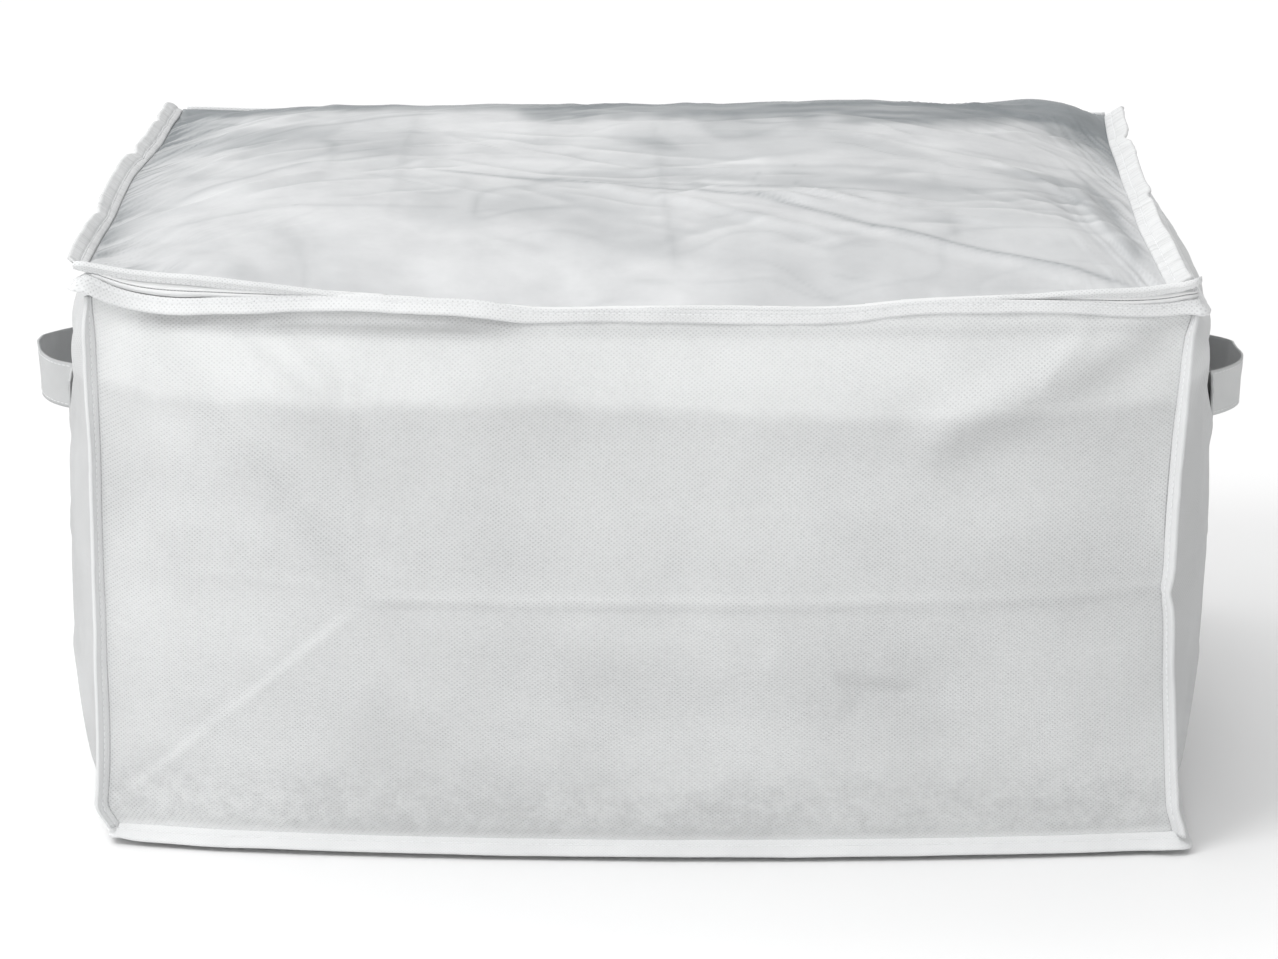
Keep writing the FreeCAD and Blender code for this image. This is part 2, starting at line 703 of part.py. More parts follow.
def zip_pull():
    """Bar in the arch, two arms beside it and a flat tab lying along the zip."""
    body = keep(new_body("zip_pull"))
    bar_x, bar_y, middle_z = HALF_WIDTH + dim.bar_out, dim.slider_y, dim.zip_mid_z
    thick = dim.pull_thick
    inner_x = bar_x - thick / 2
    arm_inner, arm_outer = 1.1, 2.1   # arm edges from the middle of the zip
    tab_half, tab_cut = 2.5, 1.2      # half height of the tab, cut of its end corners
    tab_root, tab_end = bar_y - 4.8, bar_y - dim.pull_reach

    sketch = sketch_on(body, "pull_bar_sketch", "XY_Plane", middle_z - arm_outer)
    disc(sketch, bar_x, bar_y, thick / 2)
    pad(body, sketch, arm_outer * 2, "pull_bar")
    for tag, low, high in (("low", -arm_outer, -arm_inner), ("top", arm_inner, arm_outer)):
        prism(body, "pull_arm_" + tag, "YZ_Plane", inner_x, thick,
              rectangle(bar_y - 5.2, bar_y + 0.2, middle_z + low, middle_z + high))
    low, top = middle_z - tab_half, middle_z + tab_half
    prism(body, "pull_tab", "YZ_Plane", inner_x, thick,
          [(tab_end, low + tab_cut), (tab_end + tab_cut, low),
           (tab_root, middle_z - arm_outer), (tab_root, middle_z + arm_outer),
           (tab_end + tab_cut, top), (tab_end, top - tab_cut)])


zip_slider()
zip_pull()

# ------------------------------------------------------------------- handles
STRAP_LOW, STRAP_TOP = dim.strap_z - dim.strap_wide / 2, dim.strap_z + dim.strap_wide / 2
TAIL_NEAR = dim.strap_half + 1        # inner end of a sewn strap end
TAIL_FAR = TAIL_NEAR + dim.strap_tail


def stitch_box():
    """Two runs along the strap and two across, as (y low, y high, z low, z high)."""
    inset, run = 3, dim.thread_wide
    near, far = TAIL_NEAR + inset, TAIL_FAR - inset
    low, top = STRAP_LOW + inset, STRAP_TOP - inset
    return [(near, far, low, low + run), (near, far, top - run, top),
            (near, near + run, low + run, top - run),
            (far - run, far, low + run, top - run)]


def bellied_patches(side, kind, out_low, out_high, frames):
    """Parts of a sheet bellied like the side panel, cut out by frames at both ends."""
    name = "handle_%s_%s" % (side, kind)
    sheet_body = new_body(name + "_sheet")
    bellied(sheet_body, side, out_low, out_high, name + "_bend")
    cutter_in, cutter_out = 20, 60    # reach of the cutters from the wall plane
    x = HALF_WIDTH - cutter_in if side == "right" else -(HALF_WIDTH + cutter_out)
    cutters = []
    for tag, is_rear in (("front", False), ("rear", True)):
        for i, (y_low, y_high, z_low, z_high) in enumerate(frames):
            cutters.append(bound_box("%s_%s_%d" % (name, tag, i),
                                     (x, y_low if is_rear else -y_high, z_low),
                                     (cutter_in + cutter_out, y_high - y_low,
                                      z_high - z_low)))
    tool = doc.addObject("Part::MultiFuse", name + "_tool")
    tool.Shapes = cutters
    patch = doc.addObject("Part::Common", name)
    patch.Base = sheet_body
    patch.Tool = tool
    keep(patch)


def handle_loop(side):
    """Free loop of webbing, bowed outwards between its two roots."""
    end_extra = 1.6                   # outer face beyond the inner one at each end
    sign = SIDES[side][1]
    name = "handle_%s_loop" % side
    body = keep(new_body(name))
    root_x = HALF_WIDTH + dim.strap_root
    inner_half = dim.strap_half
    outer_half = inner_half + end_extra
    outer_bulge = dim.strap_reach - dim.strap_root
    inner_bulge = outer_bulge - dim.strap_thick
    x = signed(root_x, sign)
    sketch = sketch_on(body, name + "_sketch", "XY_Plane", STRAP_LOW)
    outline(sketch, [(x, -outer_half), (x, outer_half), (x, inner_half), (x, -inner_half)],
            arcs={0: (outer_bulge, -sign, outer_half * 2),
                  2: (inner_bulge, sign, inner_half * 2)})
    pad(body, sketch, dim.strap_wide, name + "_webbing")

    # the ends narrow to the root so that the loop can swing up and down
    root_half, full_half = 0.6, 13.1  # half heights at the root and past the taper
    taper_len = 13.4
    cut = sketch_on(body, name + "_taper_sketch", "XZ_Plane", ZERO)
    for updown in (1, -1):
        near_z = dim.strap_z + updown * root_half
        far_z = dim.strap_z + updown * full_half
        corners = [(root_x - 1, near_z), (root_x, near_z),
                   (root_x + taper_len, far_z), (root_x - 1, far_z)]
        outline(cut, [(signed(out, sign), z) for out, z in corners])
    taper = body.newObject("PartDesign::Pocket", name + "_taper")
    taper.Profile = cut
    taper.Type = 1                    # through all
    taper.Midplane = True
    body.Tip = taper


for side in ("left", "right"):
    strap_face = GAP + dim.strap_thick
    bellied_patches(side, "sewn_ends", GAP, strap_face,
                    [(TAIL_NEAR, TAIL_FAR, STRAP_LOW, STRAP_TOP)])
    bellied_patches(side, "stitching", strap_face + GAP, strap_face + GAP + dim.thread_high,
                    stitch_box())
    handle_loop(side)

# ------------------------------------------------------------ checks and files
doc.recompute()
failed = [obj.Name for obj in doc.Objects
          if any(state in ("Invalid", "Error", "Touched") for state in obj.State)]
if failed:
    raise SystemExit("objects in error: " + ", ".join(failed))

for piece in pieces:
    shape = piece.Shape
    if shape.isNull() or not shape.isValid() or shape.Volume <= 0:
        raise SystemExit("bad shape " + piece.Label)
    shape.exportStep("parts/%s.step" % piece.Label)
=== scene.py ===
# Looks of a soft storage box: cloth walls, clear film lid, zip and two webbing handles.
# The box stands on z = 0, centred on x = y = 0.  -y is the front, +y the rear, +x the right.
# Lengths are millimetres in that frame unless noted; meshes are written in metres.
import bpy
import math
import numpy as np
from mathutils import Matrix, Vector
from mathutils.bvhtree import BVHTree


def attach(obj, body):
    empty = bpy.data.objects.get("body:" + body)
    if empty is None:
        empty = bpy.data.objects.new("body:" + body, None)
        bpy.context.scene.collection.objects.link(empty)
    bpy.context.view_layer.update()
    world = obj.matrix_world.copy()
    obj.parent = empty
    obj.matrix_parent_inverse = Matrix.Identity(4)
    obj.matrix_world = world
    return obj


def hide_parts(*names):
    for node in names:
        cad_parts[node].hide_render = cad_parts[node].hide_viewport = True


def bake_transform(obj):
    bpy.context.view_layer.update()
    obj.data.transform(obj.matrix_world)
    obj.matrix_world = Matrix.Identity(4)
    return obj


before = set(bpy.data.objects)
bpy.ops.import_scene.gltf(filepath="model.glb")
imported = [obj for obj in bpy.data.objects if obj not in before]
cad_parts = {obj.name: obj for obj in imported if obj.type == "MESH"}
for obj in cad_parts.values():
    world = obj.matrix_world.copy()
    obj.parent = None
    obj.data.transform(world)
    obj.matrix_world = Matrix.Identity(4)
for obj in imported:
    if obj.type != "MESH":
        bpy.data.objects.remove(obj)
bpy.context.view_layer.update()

HALF_X, HALF_Y = 275.0, 225.0       # half width and half depth between the corner seams
BASE_Z, RIM_Z = 7.0, 291.0          # heights of the floor seam and of the side rim seam
UP = np.array([0.0, 0.0, 1.0])
CAMERA_AT = (0.007039, -2.377967, 0.783994)                     # metres
CAMERA_PITCH, CAMERA_YAW, CAMERA_ROLL = 0.2665846, -0.0037881, 0.0055850   # radians


# ------------------------------------------------------------ numeric helpers
def noise(x, y, seed):
    """Smooth value noise in -1..1, one feature per unit."""
    table = np.random.RandomState(seed).uniform(-1.0, 1.0, (128, 128))
    x, y = np.broadcast_arrays(np.asarray(x, float), np.asarray(y, float))
    xi, yi = np.floor(x).astype(int), np.floor(y).astype(int)
    fx, fy = x - xi, y - yi
    u = fx * fx * fx * (fx * (fx * 6 - 15) + 10)
    v = fy * fy * fy * (fy * (fy * 6 - 15) + 10)
    low = table[xi % 128, yi % 128] * (1 - u) + table[(xi + 1) % 128, yi % 128] * u
    high = table[xi % 128, (yi + 1) % 128] * (1 - u) + table[(xi + 1) % 128, (yi + 1) % 128] * u
    return low * (1 - v) + high * v


def fbm(x, y, seed, octaves):
    """Layers of noise, each twice as fine and half as strong as the last."""
    gains = [0.5 ** k for k in range(octaves)]
    return sum(g * noise(x * 2 ** k, y * 2 ** k, seed + k)
               for k, g in enumerate(gains)) / sum(gains)


def step(x, lo, hi):
    """Smooth rise from 0 at lo to 1 at hi."""
    t = np.clip((np.asarray(x, float) - lo) / (hi - lo), 0, 1)
    return t * t * (3 - 2 * t)


def fall(x, lo, hi):
    return 1 - step(x, lo, hi)


def window(x, rise_lo, rise_hi, fall_lo, fall_hi):
    return step(x, rise_lo, rise_hi) * fall(x, fall_lo, fall_hi)


def bell(x, centre, width):
    return np.exp(-((x - centre) / width) ** 2)


def arch(x, half, rise):
    """Parabola that is rise at the middle and 0 at -half and half."""
    s = np.clip(x / half, -1, 1)
    return rise * (1 - s * s)


def unit(v):
    v = np.asarray(v, float)
    return v / np.maximum(np.linalg.norm(v, axis=-1, keepdims=True), 1e-9)


def points(x, y, z):
    return np.stack(np.broadcast_arrays(x, y, z), -1)


def arc(line):
    """Length along a polyline at each of its points."""
    return np.concatenate([[0], np.cumsum(np.linalg.norm(np.diff(line, axis=0), axis=1))])


def smooth_run(values, half):
    """Running mean over half a span to each side."""
    span = 2 * half + 1
    return np.convolve(np.pad(values, half, mode="edge"), np.ones(span) / span, "valid")


def spline(table, x):
    """Smooth cubic through a table of (place, value), held flat outside it."""
    xs, ys = np.transpose(table)
    x = np.clip(np.asarray(x, float), xs[0], xs[-1])
    i = np.clip(np.searchsorted(xs, x) - 1, 0, len(xs) - 2)
    slope = np.gradient(ys, xs)
    h = xs[i + 1] - xs[i]
    t = (x - xs[i]) / h
    return ((2 * t ** 3 - 3 * t ** 2 + 1) * ys[i] + (t ** 3 - 2 * t ** 2 + t) * h * slope[i]
            + (-2 * t ** 3 + 3 * t ** 2) * ys[i + 1] + (t ** 3 - t ** 2) * h * slope[i + 1])


def cubic_weights(n_in, places):
    """Catmull-Rom weights at places, counted in samples, along n_in samples."""
    m = np.zeros((len(places), n_in))
    for row, p in zip(m, places):
        i = min(int(p), n_in - 2)
        t = p - i
        weights = (-0.5 * t + t * t - 0.5 * t ** 3, 1 - 2.5 * t * t + 1.5 * t ** 3,
                   0.5 * t + 2 * t * t - 1.5 * t ** 3, -0.5 * t * t + 0.5 * t ** 3)
        for k, weight in enumerate(weights):
            row[min(max(i - 1 + k, 0), n_in - 1)] += weight
    return m


def even_weights(n_in, n_out):
    return cubic_weights(n_in, np.arange(n_out) * (n_in - 1) / (n_out - 1))


def resample(grid, u_weights, v_weights):
    return np.einsum("ui,ijc,vj->uvc", u_weights, grid, v_weights)


def coons(low, high, left, right):
    """Patch between low(i), high(i), left(j) and right(j)."""
    u = np.linspace(0, 1, len(low))[:, None, None]
    v = np.linspace(0, 1, len(left))[None, :, None]
    between_rows = (1 - v) * low[:, None, :] + v * high[:, None, :]
    between_columns = (1 - u) * left[None, :, :] + u * right[None, :, :]
    corners = ((1 - u) * (1 - v) * low[0] + u * (1 - v) * low[-1]
               + (1 - u) * v * high[0] + u * v * high[-1])
    return between_rows + between_columns - corners


def along_line(u, v, start, end):
    """Distance along and across the line from start to end, and the line's length."""
    (u0, v0), (u1, v1) = start, end
    length = math.hypot(u1 - u0, v1 - v0)
    tu, tv = (u1 - u0) / length, (v1 - v0) / length
    return (u - u0) * tu + (v - v0) * tv, -(u - u0) * tv + (v - v0) * tu, length


# -------------------------------------------------------------- mesh building
def signed_volume(verts, quads, tris):
    """A number with the sign of the volume inside closed faces."""
    t = np.concatenate([quads[:, [0, 1, 2]], quads[:, [0, 2, 3]], tris])
    a, b, c = verts[t[:, 0]], verts[t[:, 1]], verts[t[:, 2]]
    return float((a * np.cross(b, c)).sum())


def mesh_object(name, verts, quads, uv=None, tris=(), attrs=None, solid=True):
    """Smooth-shaded object; the faces of a solid are turned to look outward."""
    me = bpy.data.meshes.new(name)
    verts = np.asarray(verts, float) * 0.001
    quads = np.asarray(quads, np.int64).reshape(-1, 4)
    tris = np.asarray(tris, np.int64).reshape(-1, 3)
    if solid and signed_volume(verts - verts.mean(0), quads, tris) < 0:
        quads, tris = quads[:, ::-1], tris[:, ::-1]
    loops = np.concatenate([quads.ravel(), tris.ravel()])
    me.vertices.add(len(verts))
    me.vertices.foreach_set("co", verts.astype(np.float32).ravel())
    me.loops.add(len(loops))
    me.loops.foreach_set("vertex_index", loops.astype(np.int32))
    me.polygons.add(len(quads) + len(tris))
    starts = np.concatenate([np.arange(len(quads)) * 4,
                             len(quads) * 4 + np.arange(len(tris)) * 3])
    me.polygons.foreach_set("loop_start", starts.astype(np.int32))
    if uv is not None:
        layer = me.uv_layers.new(name="mm")
        layer.data.foreach_set("uv", np.asarray(uv, np.float32)[loops].ravel())
    for key, values in (attrs or {}).items():
        a = me.attributes.new(key, "FLOAT", "POINT")
        a.data.foreach_set("value", np.asarray(values, np.float32).ravel())
    me.update(calc_edges=True)
    me.validate()
    me.polygons.foreach_set("use_smooth", np.full(len(me.polygons), True))
    ob = bpy.data.objects.new(name, me)
    bpy.context.scene.collection.objects.link(ob)
    return ob


def grid_quads(nu, nv, close_u=False, close_v=False):
    i, j = np.meshgrid(np.arange(nu if close_u else nu - 1),
                       np.arange(nv if close_v else nv - 1), indexing="ij")
    i2, j2 = (i + 1) % nu, (j + 1) % nv
    return np.stack([i * nv + j, i2 * nv + j, i2 * nv + j2, i * nv + j2], -1).reshape(-1, 4)


def sheet_uv(line_u, line_v):
    """Texture places in millimetres, measured along one line each way."""
    uu, vv = np.meshgrid(arc(line_u), arc(line_v), indexing="ij")
    return np.stack([uu.ravel(), vv.ravel()], -1)


def shell(name, grid, thick, **attrs):
    """Closed thin sheet: the grid is one face, the other lies thick below its normals."""
    nu, nv = grid.shape[:2]
    n = nu * nv
    normals = unit(np.cross(np.gradient(grid, axis=0), np.gradient(grid, axis=1)))
    verts = np.concatenate([grid.reshape(-1, 3), (grid - normals * thick).reshape(-1, 3)])
    face = grid_quads(nu, nv)
    quads = [face, face[:, ::-1] + n]
    ids = np.arange(n).reshape(nu, nv)
    for edge in (ids[0, ::-1], ids[-1], ids[:, 0], ids[::-1, -1]):
        a, b = edge[:-1], edge[1:]
        quads.append(np.stack([b, a, a + n, b + n], -1))
    uv = sheet_uv(grid[:, nv // 2], grid[nu // 2])
    both = {key: np.concatenate([np.ravel(v), np.ravel(v)]) for key, v in attrs.items()}
    return mesh_object(name, verts, np.concatenate(quads), np.concatenate([uv, uv]), attrs=both)


def sweep(name, rings, closed=False, **attrs):
    """Tube through rings[i, k]; its ends are capped unless the path closes."""
    count, around = rings.shape[:2]
    n = count * around
    verts = rings.reshape(-1, 3)
    uv = sheet_uv(rings.mean(1), rings[count // 2])
    attrs = {key: np.ravel(v) for key, v in attrs.items()}
    tris = ()
    if not closed:
        last = n - around
        k = np.arange(around)
        tri = np.stack([k, (k + 1) % around, np.full(around, n)], -1)
        tris = np.concatenate([tri, (tri + [last, last, 1])[:, ::-1]])
        verts = np.concatenate([verts, rings[[0, -1]].mean(1)])
        uv = np.concatenate([uv, uv[[0, last]]])
        attrs = {key: np.concatenate([v, v[[0, last]]]) for key, v in attrs.items()}
    quads = grid_quads(count, around, close_u=closed, close_v=True)
    return mesh_object(name, verts, quads, uv, tris=tris, attrs=attrs)


def capsules(name, centres, along, out, length, radius):
    """Many short stitches with blunt ends in one mesh."""
    sides = 6
    out = unit(out - (out * along).sum(-1, keepdims=True) * along)
    side = np.cross(along, out)
    angles = np.arange(sides) * 2 * np.pi / sides
    # place along the stitch and share of the radius, for each ring
    rings = [[centres + along * length * place
              + (out * math.cos(a) * 0.8 + side * math.sin(a)) * radius * share for a in angles]
             for place, share in ((-0.5, 0.45), (-0.34, 1.0), (0.34, 1.0), (0.5, 0.45))]
    verts = np.transpose(rings, (2, 0, 1, 3)).reshape(-1, 3)
    first = (np.arange(len(centres)) * 4 * sides)[:, None, None]
    cap = np.array([[0, 1, 2, 3], [0, 3, 4, 5]])
    caps = np.concatenate([cap, (cap + 3 * sides)[:, ::-1]])
    quads = np.concatenate([(faces[None] + first).reshape(-1, 4)
                            for faces in (grid_quads(4, sides, close_v=True), caps)])
    return mesh_object(name, verts, quads, uv=np.zeros((len(verts), 2)))


def walk(path, spacing, start=0.0):
    """Equal steps along a polyline: each one's segment, share of it, and run from the start."""
    run = arc(path)
    at = np.arange(start, run[-1] - 1e-6, spacing)
    i = np.clip(np.searchsorted(run, at) - 1, 0, len(path) - 2)
    return i, ((at - run[i]) / np.maximum(run[i + 1] - run[i], 1e-9))[:, None], at


def blend_rows(rows, i, t):
    return rows[i] * (1 - t) + rows[np.minimum(i + 1, len(rows) - 1)] * t


def stitch_lines(name, lines, spacing=3.4, length=2.6, radius=0.3):
    """Stitches along lines, a list of (polyline, outward rows)."""
    centres, along, outs = [], [], []
    for path, out in lines:
        i, t, _ = walk(path, spacing, start=spacing)
        direction = unit(path[i + 1] - path[i])
        good = np.linalg.norm(direction, axis=1) > 0.5
        centres.append(blend_rows(path, i, t)[good])
        along.append(direction[good])
        outs.append(unit(blend_rows(out, i, t)[good]))
    return capsules(name, np.concatenate(centres), np.concatenate(along),
                    np.concatenate(outs), length, radius)


# ---------------------------------------------------------------- soft sheets
def relax(name, grid, pressure, slack, frames, stiff, bend, smooth):
    """Lets a sheet sewn down along its edges settle under pressure from inside."""
    nu, nv = grid.shape[:2]
    ob = mesh_object(name + "_sim", grid.reshape(-1, 3), grid_quads(nu, nv), solid=False)
    # the solver works at ten times the size, which keeps it steady
    ob.data.transform(Matrix.Scale(10.0, 4))
    edge = np.ones((nu, nv), bool)
    edge[1:-1, 1:-1] = False
    pin = ob.vertex_groups.new(name="pin")
    pin.add([int(k) for k in np.flatnonzero(edge.ravel())], 1.0, "REPLACE")
    mod = ob.modifiers.new("cloth", "CLOTH")
    st = mod.settings
    st.quality = 6
    st.mass = 0.3
    st.tension_stiffness = st.compression_stiffness = stiff
    st.shear_stiffness = stiff * 0.5
    st.bending_stiffness = bend
    st.tension_damping = st.compression_damping = st.shear_damping = 12.0
    st.bending_damping = 2.0
    st.air_damping = 4.0
    st.shrink_min = -slack
    st.use_pressure = True
    st.uniform_pressure_force = pressure
    st.vertex_group_mass = "pin"
    st.effector_weights.gravity = 0.0
    mod.collision_settings.use_collision = False
    mod.collision_settings.use_self_collision = False
    mod.point_cache.frame_start = 1
    mod.point_cache.frame_end = frames
    scene = bpy.context.scene
    for f in range(1, frames + 1):
        scene.frame_set(f)
    evaluated = ob.evaluated_get(bpy.context.evaluated_depsgraph_get())
    co = np.empty(nu * nv * 3, np.float32)
    evaluated.to_mesh().vertices.foreach_get("co", co)
    move = co.reshape(nu, nv, 3).astype(float) * 100.0 - grid
    evaluated.to_mesh_clear()
    bpy.data.objects.remove(ob, do_unlink=True)
    scene.frame_set(1)
    # no point may run away
    size = np.linalg.norm(move, axis=-1, keepdims=True)
    move = move * np.minimum(1.0, 30.0 / np.maximum(size, 1e-6))
    for _ in range(smooth):
        m = move.copy()
        m[1:-1] = (move[:-2] + 2 * move[1:-1] + move[2:]) / 4
        move = m.copy()
        move[:, 1:-1] = (m[:, :-2] + 2 * m[:, 1:-1] + m[:, 2:]) / 4
    return grid + move


# ------------------------------------------------------------- seam lines
# (x, z) of the front hem and of the front lid welt
HEM = ((-275, 292.5), (-260.8, 286.6), (-240, 282.9), (-205, 283.7), (-163.6, 286.4),
       (-136, 286.8), (-108.7, 285.8), (-81, 285.0), (-58.5, 282.1), (-17, 282.0), (37, 281.5),
       (106, 282.2), (132, 285.4), (173, 286.0), (215, 285.0), (250, 282.6), (275, 283.6))
WELT = ((-281, 307.5), (-253.8, 303.8), (-218.8, 301.7), (-184.5, 299.0), (-149.8, 295.6),
        (-115.7, 291.9), (-81.2, 289.3), (-37.9, 288.0), (-14.8, 289.1), (23.6, 290.8),
        (64.4, 290.6), (92, 290.0), (132.3, 292.6), (173.3, 295.0), (215, 297.2),
        (256.4, 299.3), (275.8, 303))
# (y, x) of the lid's side seams
LID_LEFT = ((-227, -276.5), (-202, -277.6), (-100, -278.2), (41, -279.2), (105, -275.5),
            (185, -274.6), (224, -274.5))
LID_RIGHT = ((-227, 262.5), (-160, 257.5), (-78, 259.0), (49, 262.8), (150, 266.5),
             (200, 270.5), (224, 273.5))


def bow(x):
    """How far the front top edge bows forward."""
    return arch(x, HALF_X, 19.0)


def tucked(x):
    """1 where the front of the zip is folded in behind the rim, 0 where it lies open."""
    return window(x, -190, -100, 175, 245)


def settle(p):
    """Pushes in the left front foot of the bag a little."""
    w = fall(p[..., 2], 5, 24) * fall(p[..., 0] + HALF_X, 0, 70) * fall(p[..., 1] + HALF_Y, 0, 90)
    return p + w[..., None] * np.array([8.5, 2.0, 0.0])


def column(side_x, side_y, z):
    """Root line of an upright corner seam."""
    swell = np.sin(np.pi * np.clip(z / RIM_Z, 0, 1)) ** 0.6
    wobble = 1.2 * noise(z / 55.0, 3.3 + side_x + 2 * side_y, 11)
    if side_x < 0:
        x = -(HALF_X - 2.5 * swell) + wobble
    elif side_y > 0:
        x = HALF_X - 3.0 * swell + wobble
    else:
        x = HALF_X - 9.0 * swell - 1.5 * bell(z, 139, 9.0) + wobble
    y = side_y * (HALF_Y - 2.0 * swell) + wobble * 0.6
    ends = window(z, 7, 25, 270, 288)
    x = side_x * HALF_X + (x - side_x * HALF_X) * ends
    y = side_y * HALF_Y + (y - side_y * HALF_Y) * ends
    return settle(points(x, y, z))


def rim_front(x):
    z = spline(HEM, x) + 6.5 + 0.4 * fall(x, -80, -40)
    z = z + (RIM_Z - z) * fall(HALF_X - x, 0, 14) * 0.9
    return points(x, -(HALF_Y + bow(x) + 0.5), z)


RIM_LEFT_CORNER = float(rim_front(np.array([-HALF_X]))[0, 2])


def rim_side(sign, y):
    wave = 1.2 * noise(y / 60.0, 5.0 + sign, 21) * window(y, -225, -190, 190, 224)
    x = sign * (HALF_X + 1.5 * np.sin(np.pi * (y + HALF_Y) / (2 * HALF_Y)))
    corner = (RIM_LEFT_CORNER - RIM_Z) * fall(y, -225, -170) if sign < 0 else 0.0
    return points(x, y, RIM_Z + wave + corner)


def rear_top(x, y=224.6):
    wave = 0.8 * noise(x / 70.0, 9.0, 23) * fall(np.abs(x), 230, 268)
    return points(x, y, 299.8 + wave)


def base_front(x):
    return settle(points(x, -(HALF_Y + arch(x, HALF_X, 17.0)), BASE_Z))


def base_rear(x):
    return points(x, HALF_Y + arch(x, HALF_X, 6.0), BASE_Z)


def base_side(sign, y):
    return settle(points(sign * (HALF_X + arch(y, HALF_Y, 7.0)), y, BASE_Z))


def lid_side(sign, y):
    if sign < 0:
        x = spline(LID_LEFT, y)
        z = 301.0 + 0.9 * noise(y / 50.0, 2.0, 31) - 1.5 * step(-y, 150, 225)
    else:
        x = spline(LID_RIGHT, y)
        z = 303.5 + 0.8 * noise(y / 50.0, 6.0, 33) - 6.5 * step(-y, 150, 225)
    return points(x, y, z + (300.3 - z) * step(y, 185, 223))


def lid_front(x):
    z = spline(WELT, x) - 4.9 - 1.0 * tucked(x)
    return points(x, -(HALF_Y + bow(x) + 0.2) + 5.5 * tucked(x), z)


LID_REAR_Y = 223.4
lid_front_pts = lid_front(np.linspace(LID_LEFT[0][1], LID_RIGHT[0][1], 217))


def lid_side_fit(sign, corner):
    """Side lid seam that meets the front one at the corner."""
    y = np.linspace(corner[1], LID_REAR_Y, 181)
    p = lid_side(sign, y)
    gap = (corner - lid_side(sign, corner[1:2])[0]) * [1, 0, 1]
    return p + gap * fall(y, corner[1], corner[1] + 45)[:, None]


lid_left_pts = lid_side_fit(-1, lid_front_pts[0])
lid_right_pts = lid_side_fit(1, lid_front_pts[-1])

# ------------------------------------------------------------------ wall panels
WALL_COLUMNS, WALL_ROWS, SIDE_COLUMNS = 92, 50, 76      # samples of the settling sheets
FRONT_SIZE, SIDE_SIZE = (206, 112), (168, 112)          # samples of the finished panels


def crease(grid, u, v, outward, mask, start, end, depth, width, sharp=1.0, taper=True):
    """Presses or lifts a fold line; u and v are the sheet's flat coordinates."""
    along, off, length = along_line(u, v, start, end)
    off = off + 1.5 * noise(along / 35.0, 2.0, int(abs(start[0] * 3 + end[1])) % 97)
    fade = (0.0, 0.18, 0.82, 1.0) if taper else (-0.02, 0.02, 0.98, 1.02)
    shape = np.exp(-(np.abs(off) / width) ** (2.0 / sharp))
    # a fold has a shoulder on one side
    shape = shape - 0.35 * bell(off, width * 1.3, width * 1.1)
    return grid + (depth * window(along / length, *fade) * shape * mask)[..., None] * outward


def wall_sheet(name, low, high, corners, outward, belly, pressure, size, tall=2.0):
    """Panel between floor seam, rim and two corner seams, bellied out and settled."""
    uprights = []
    for k, corner in zip((0, -1), corners):
        z = BASE_Z + (high[k, 2] - BASE_Z) * np.linspace(0, 1, WALL_ROWS)
        rows = column(*corner, z)
        rows[0], rows[-1] = low[k], high[k]
        uprights.append(rows)
    g = coons(low, high, *uprights)
    u = np.linspace(-1, 1, g.shape[0])[:, None]
    v = np.linspace(-1, 1, g.shape[1])[None, :]
    cap = (1 - u ** 4) * (1 - np.abs(v) ** tall) * (0.75 + 0.25 * (1 - u * u))
    # a slight unevenness gives the folds somewhere to start
    seed = sum((k + 1) * ord(c) for k, c in enumerate(name)) % 89 + 3
    bump = 1.2 * fbm(u * 4.0, v * 2.6, seed, 3) * (1 - u ** 4) * (1 - v ** 4)
    g = g + (belly * cap)[..., None] * outward + bump[..., None] * outward
    g = relax(name, g, pressure, slack=0.010, frames=22, stiff=15.0, bend=0.5, smooth=4)
    return resample(g, even_weights(g.shape[0], size[0]), even_weights(g.shape[1], size[1]))


def mould(grid, outward, axis, half, top, swell, folds, level):
    """Adds swells, fold lines and the level fold at mid height; axis runs along the wall."""
    u, z = grid[..., axis], grid[..., 2]
    from_side = half - np.abs(u)
    inside = step(from_side, 0, 22) * step(z - BASE_Z, 0, 18) * step(top - z, 0, 16)
    grid = grid + (swell(u, z) * inside)[..., None] * outward
    for fold in folds:
        grid = crease(grid, u, z, outward, inside, *fold)
    return crease(grid, u, z, outward, step(from_side, 0, 6), *level, 2.4, 1.8, False)


# Folds are start, end, depth, width and, where it isn't 1, sharpness; False: not tapered.
# A point is (place along the wall, z).
FRONT_FOLDS = (
    ((-262, 284), (-140, 140), 4.2, 12.0), ((-190, 282), (-148, 246), 1.5, 6.0),
    ((266, 284), (130, 218), 6.0, 14.0), ((225, 283), (195, 250), 1.2, 5.0),
    ((-268, 24), (-136, 142), 0.9, 2.2, 1.6), ((96, 102), (140, 95), -1.6, 4.0),
    ((60, 118), (110, 88), 1.6, 12.0), ((150, 92), (235, 62), 1.2, 14.0),
    ((-240, 152), (-150, 148), 0.9, 2.6, 1.6), ((-144, 280), (-141, 120), 0.45, 2.0, 1.6))
BACK_FOLDS = (((255, 280), (150, 190), 2.6, 11.0), ((-258, 284), (-160, 180), 2.8, 12.0),
              ((-260, 22), (-160, 105), 1.8, 8.0))
SIDE_FOLDS = (((-206, 272), (-120, 190), 2.8, 10.0), ((200, 276), (115, 205), 2.4, 10.0),
              ((-205, 28), (-140, 95), 2.0, 9.0), ((206, 30), (150, 110), 2.2, 9.0),
              ((-180, 285), (-168, 120), 1.2, 7.0), ((4, 12), (-3, 286), 0.8, 2.2, 1.8, False))


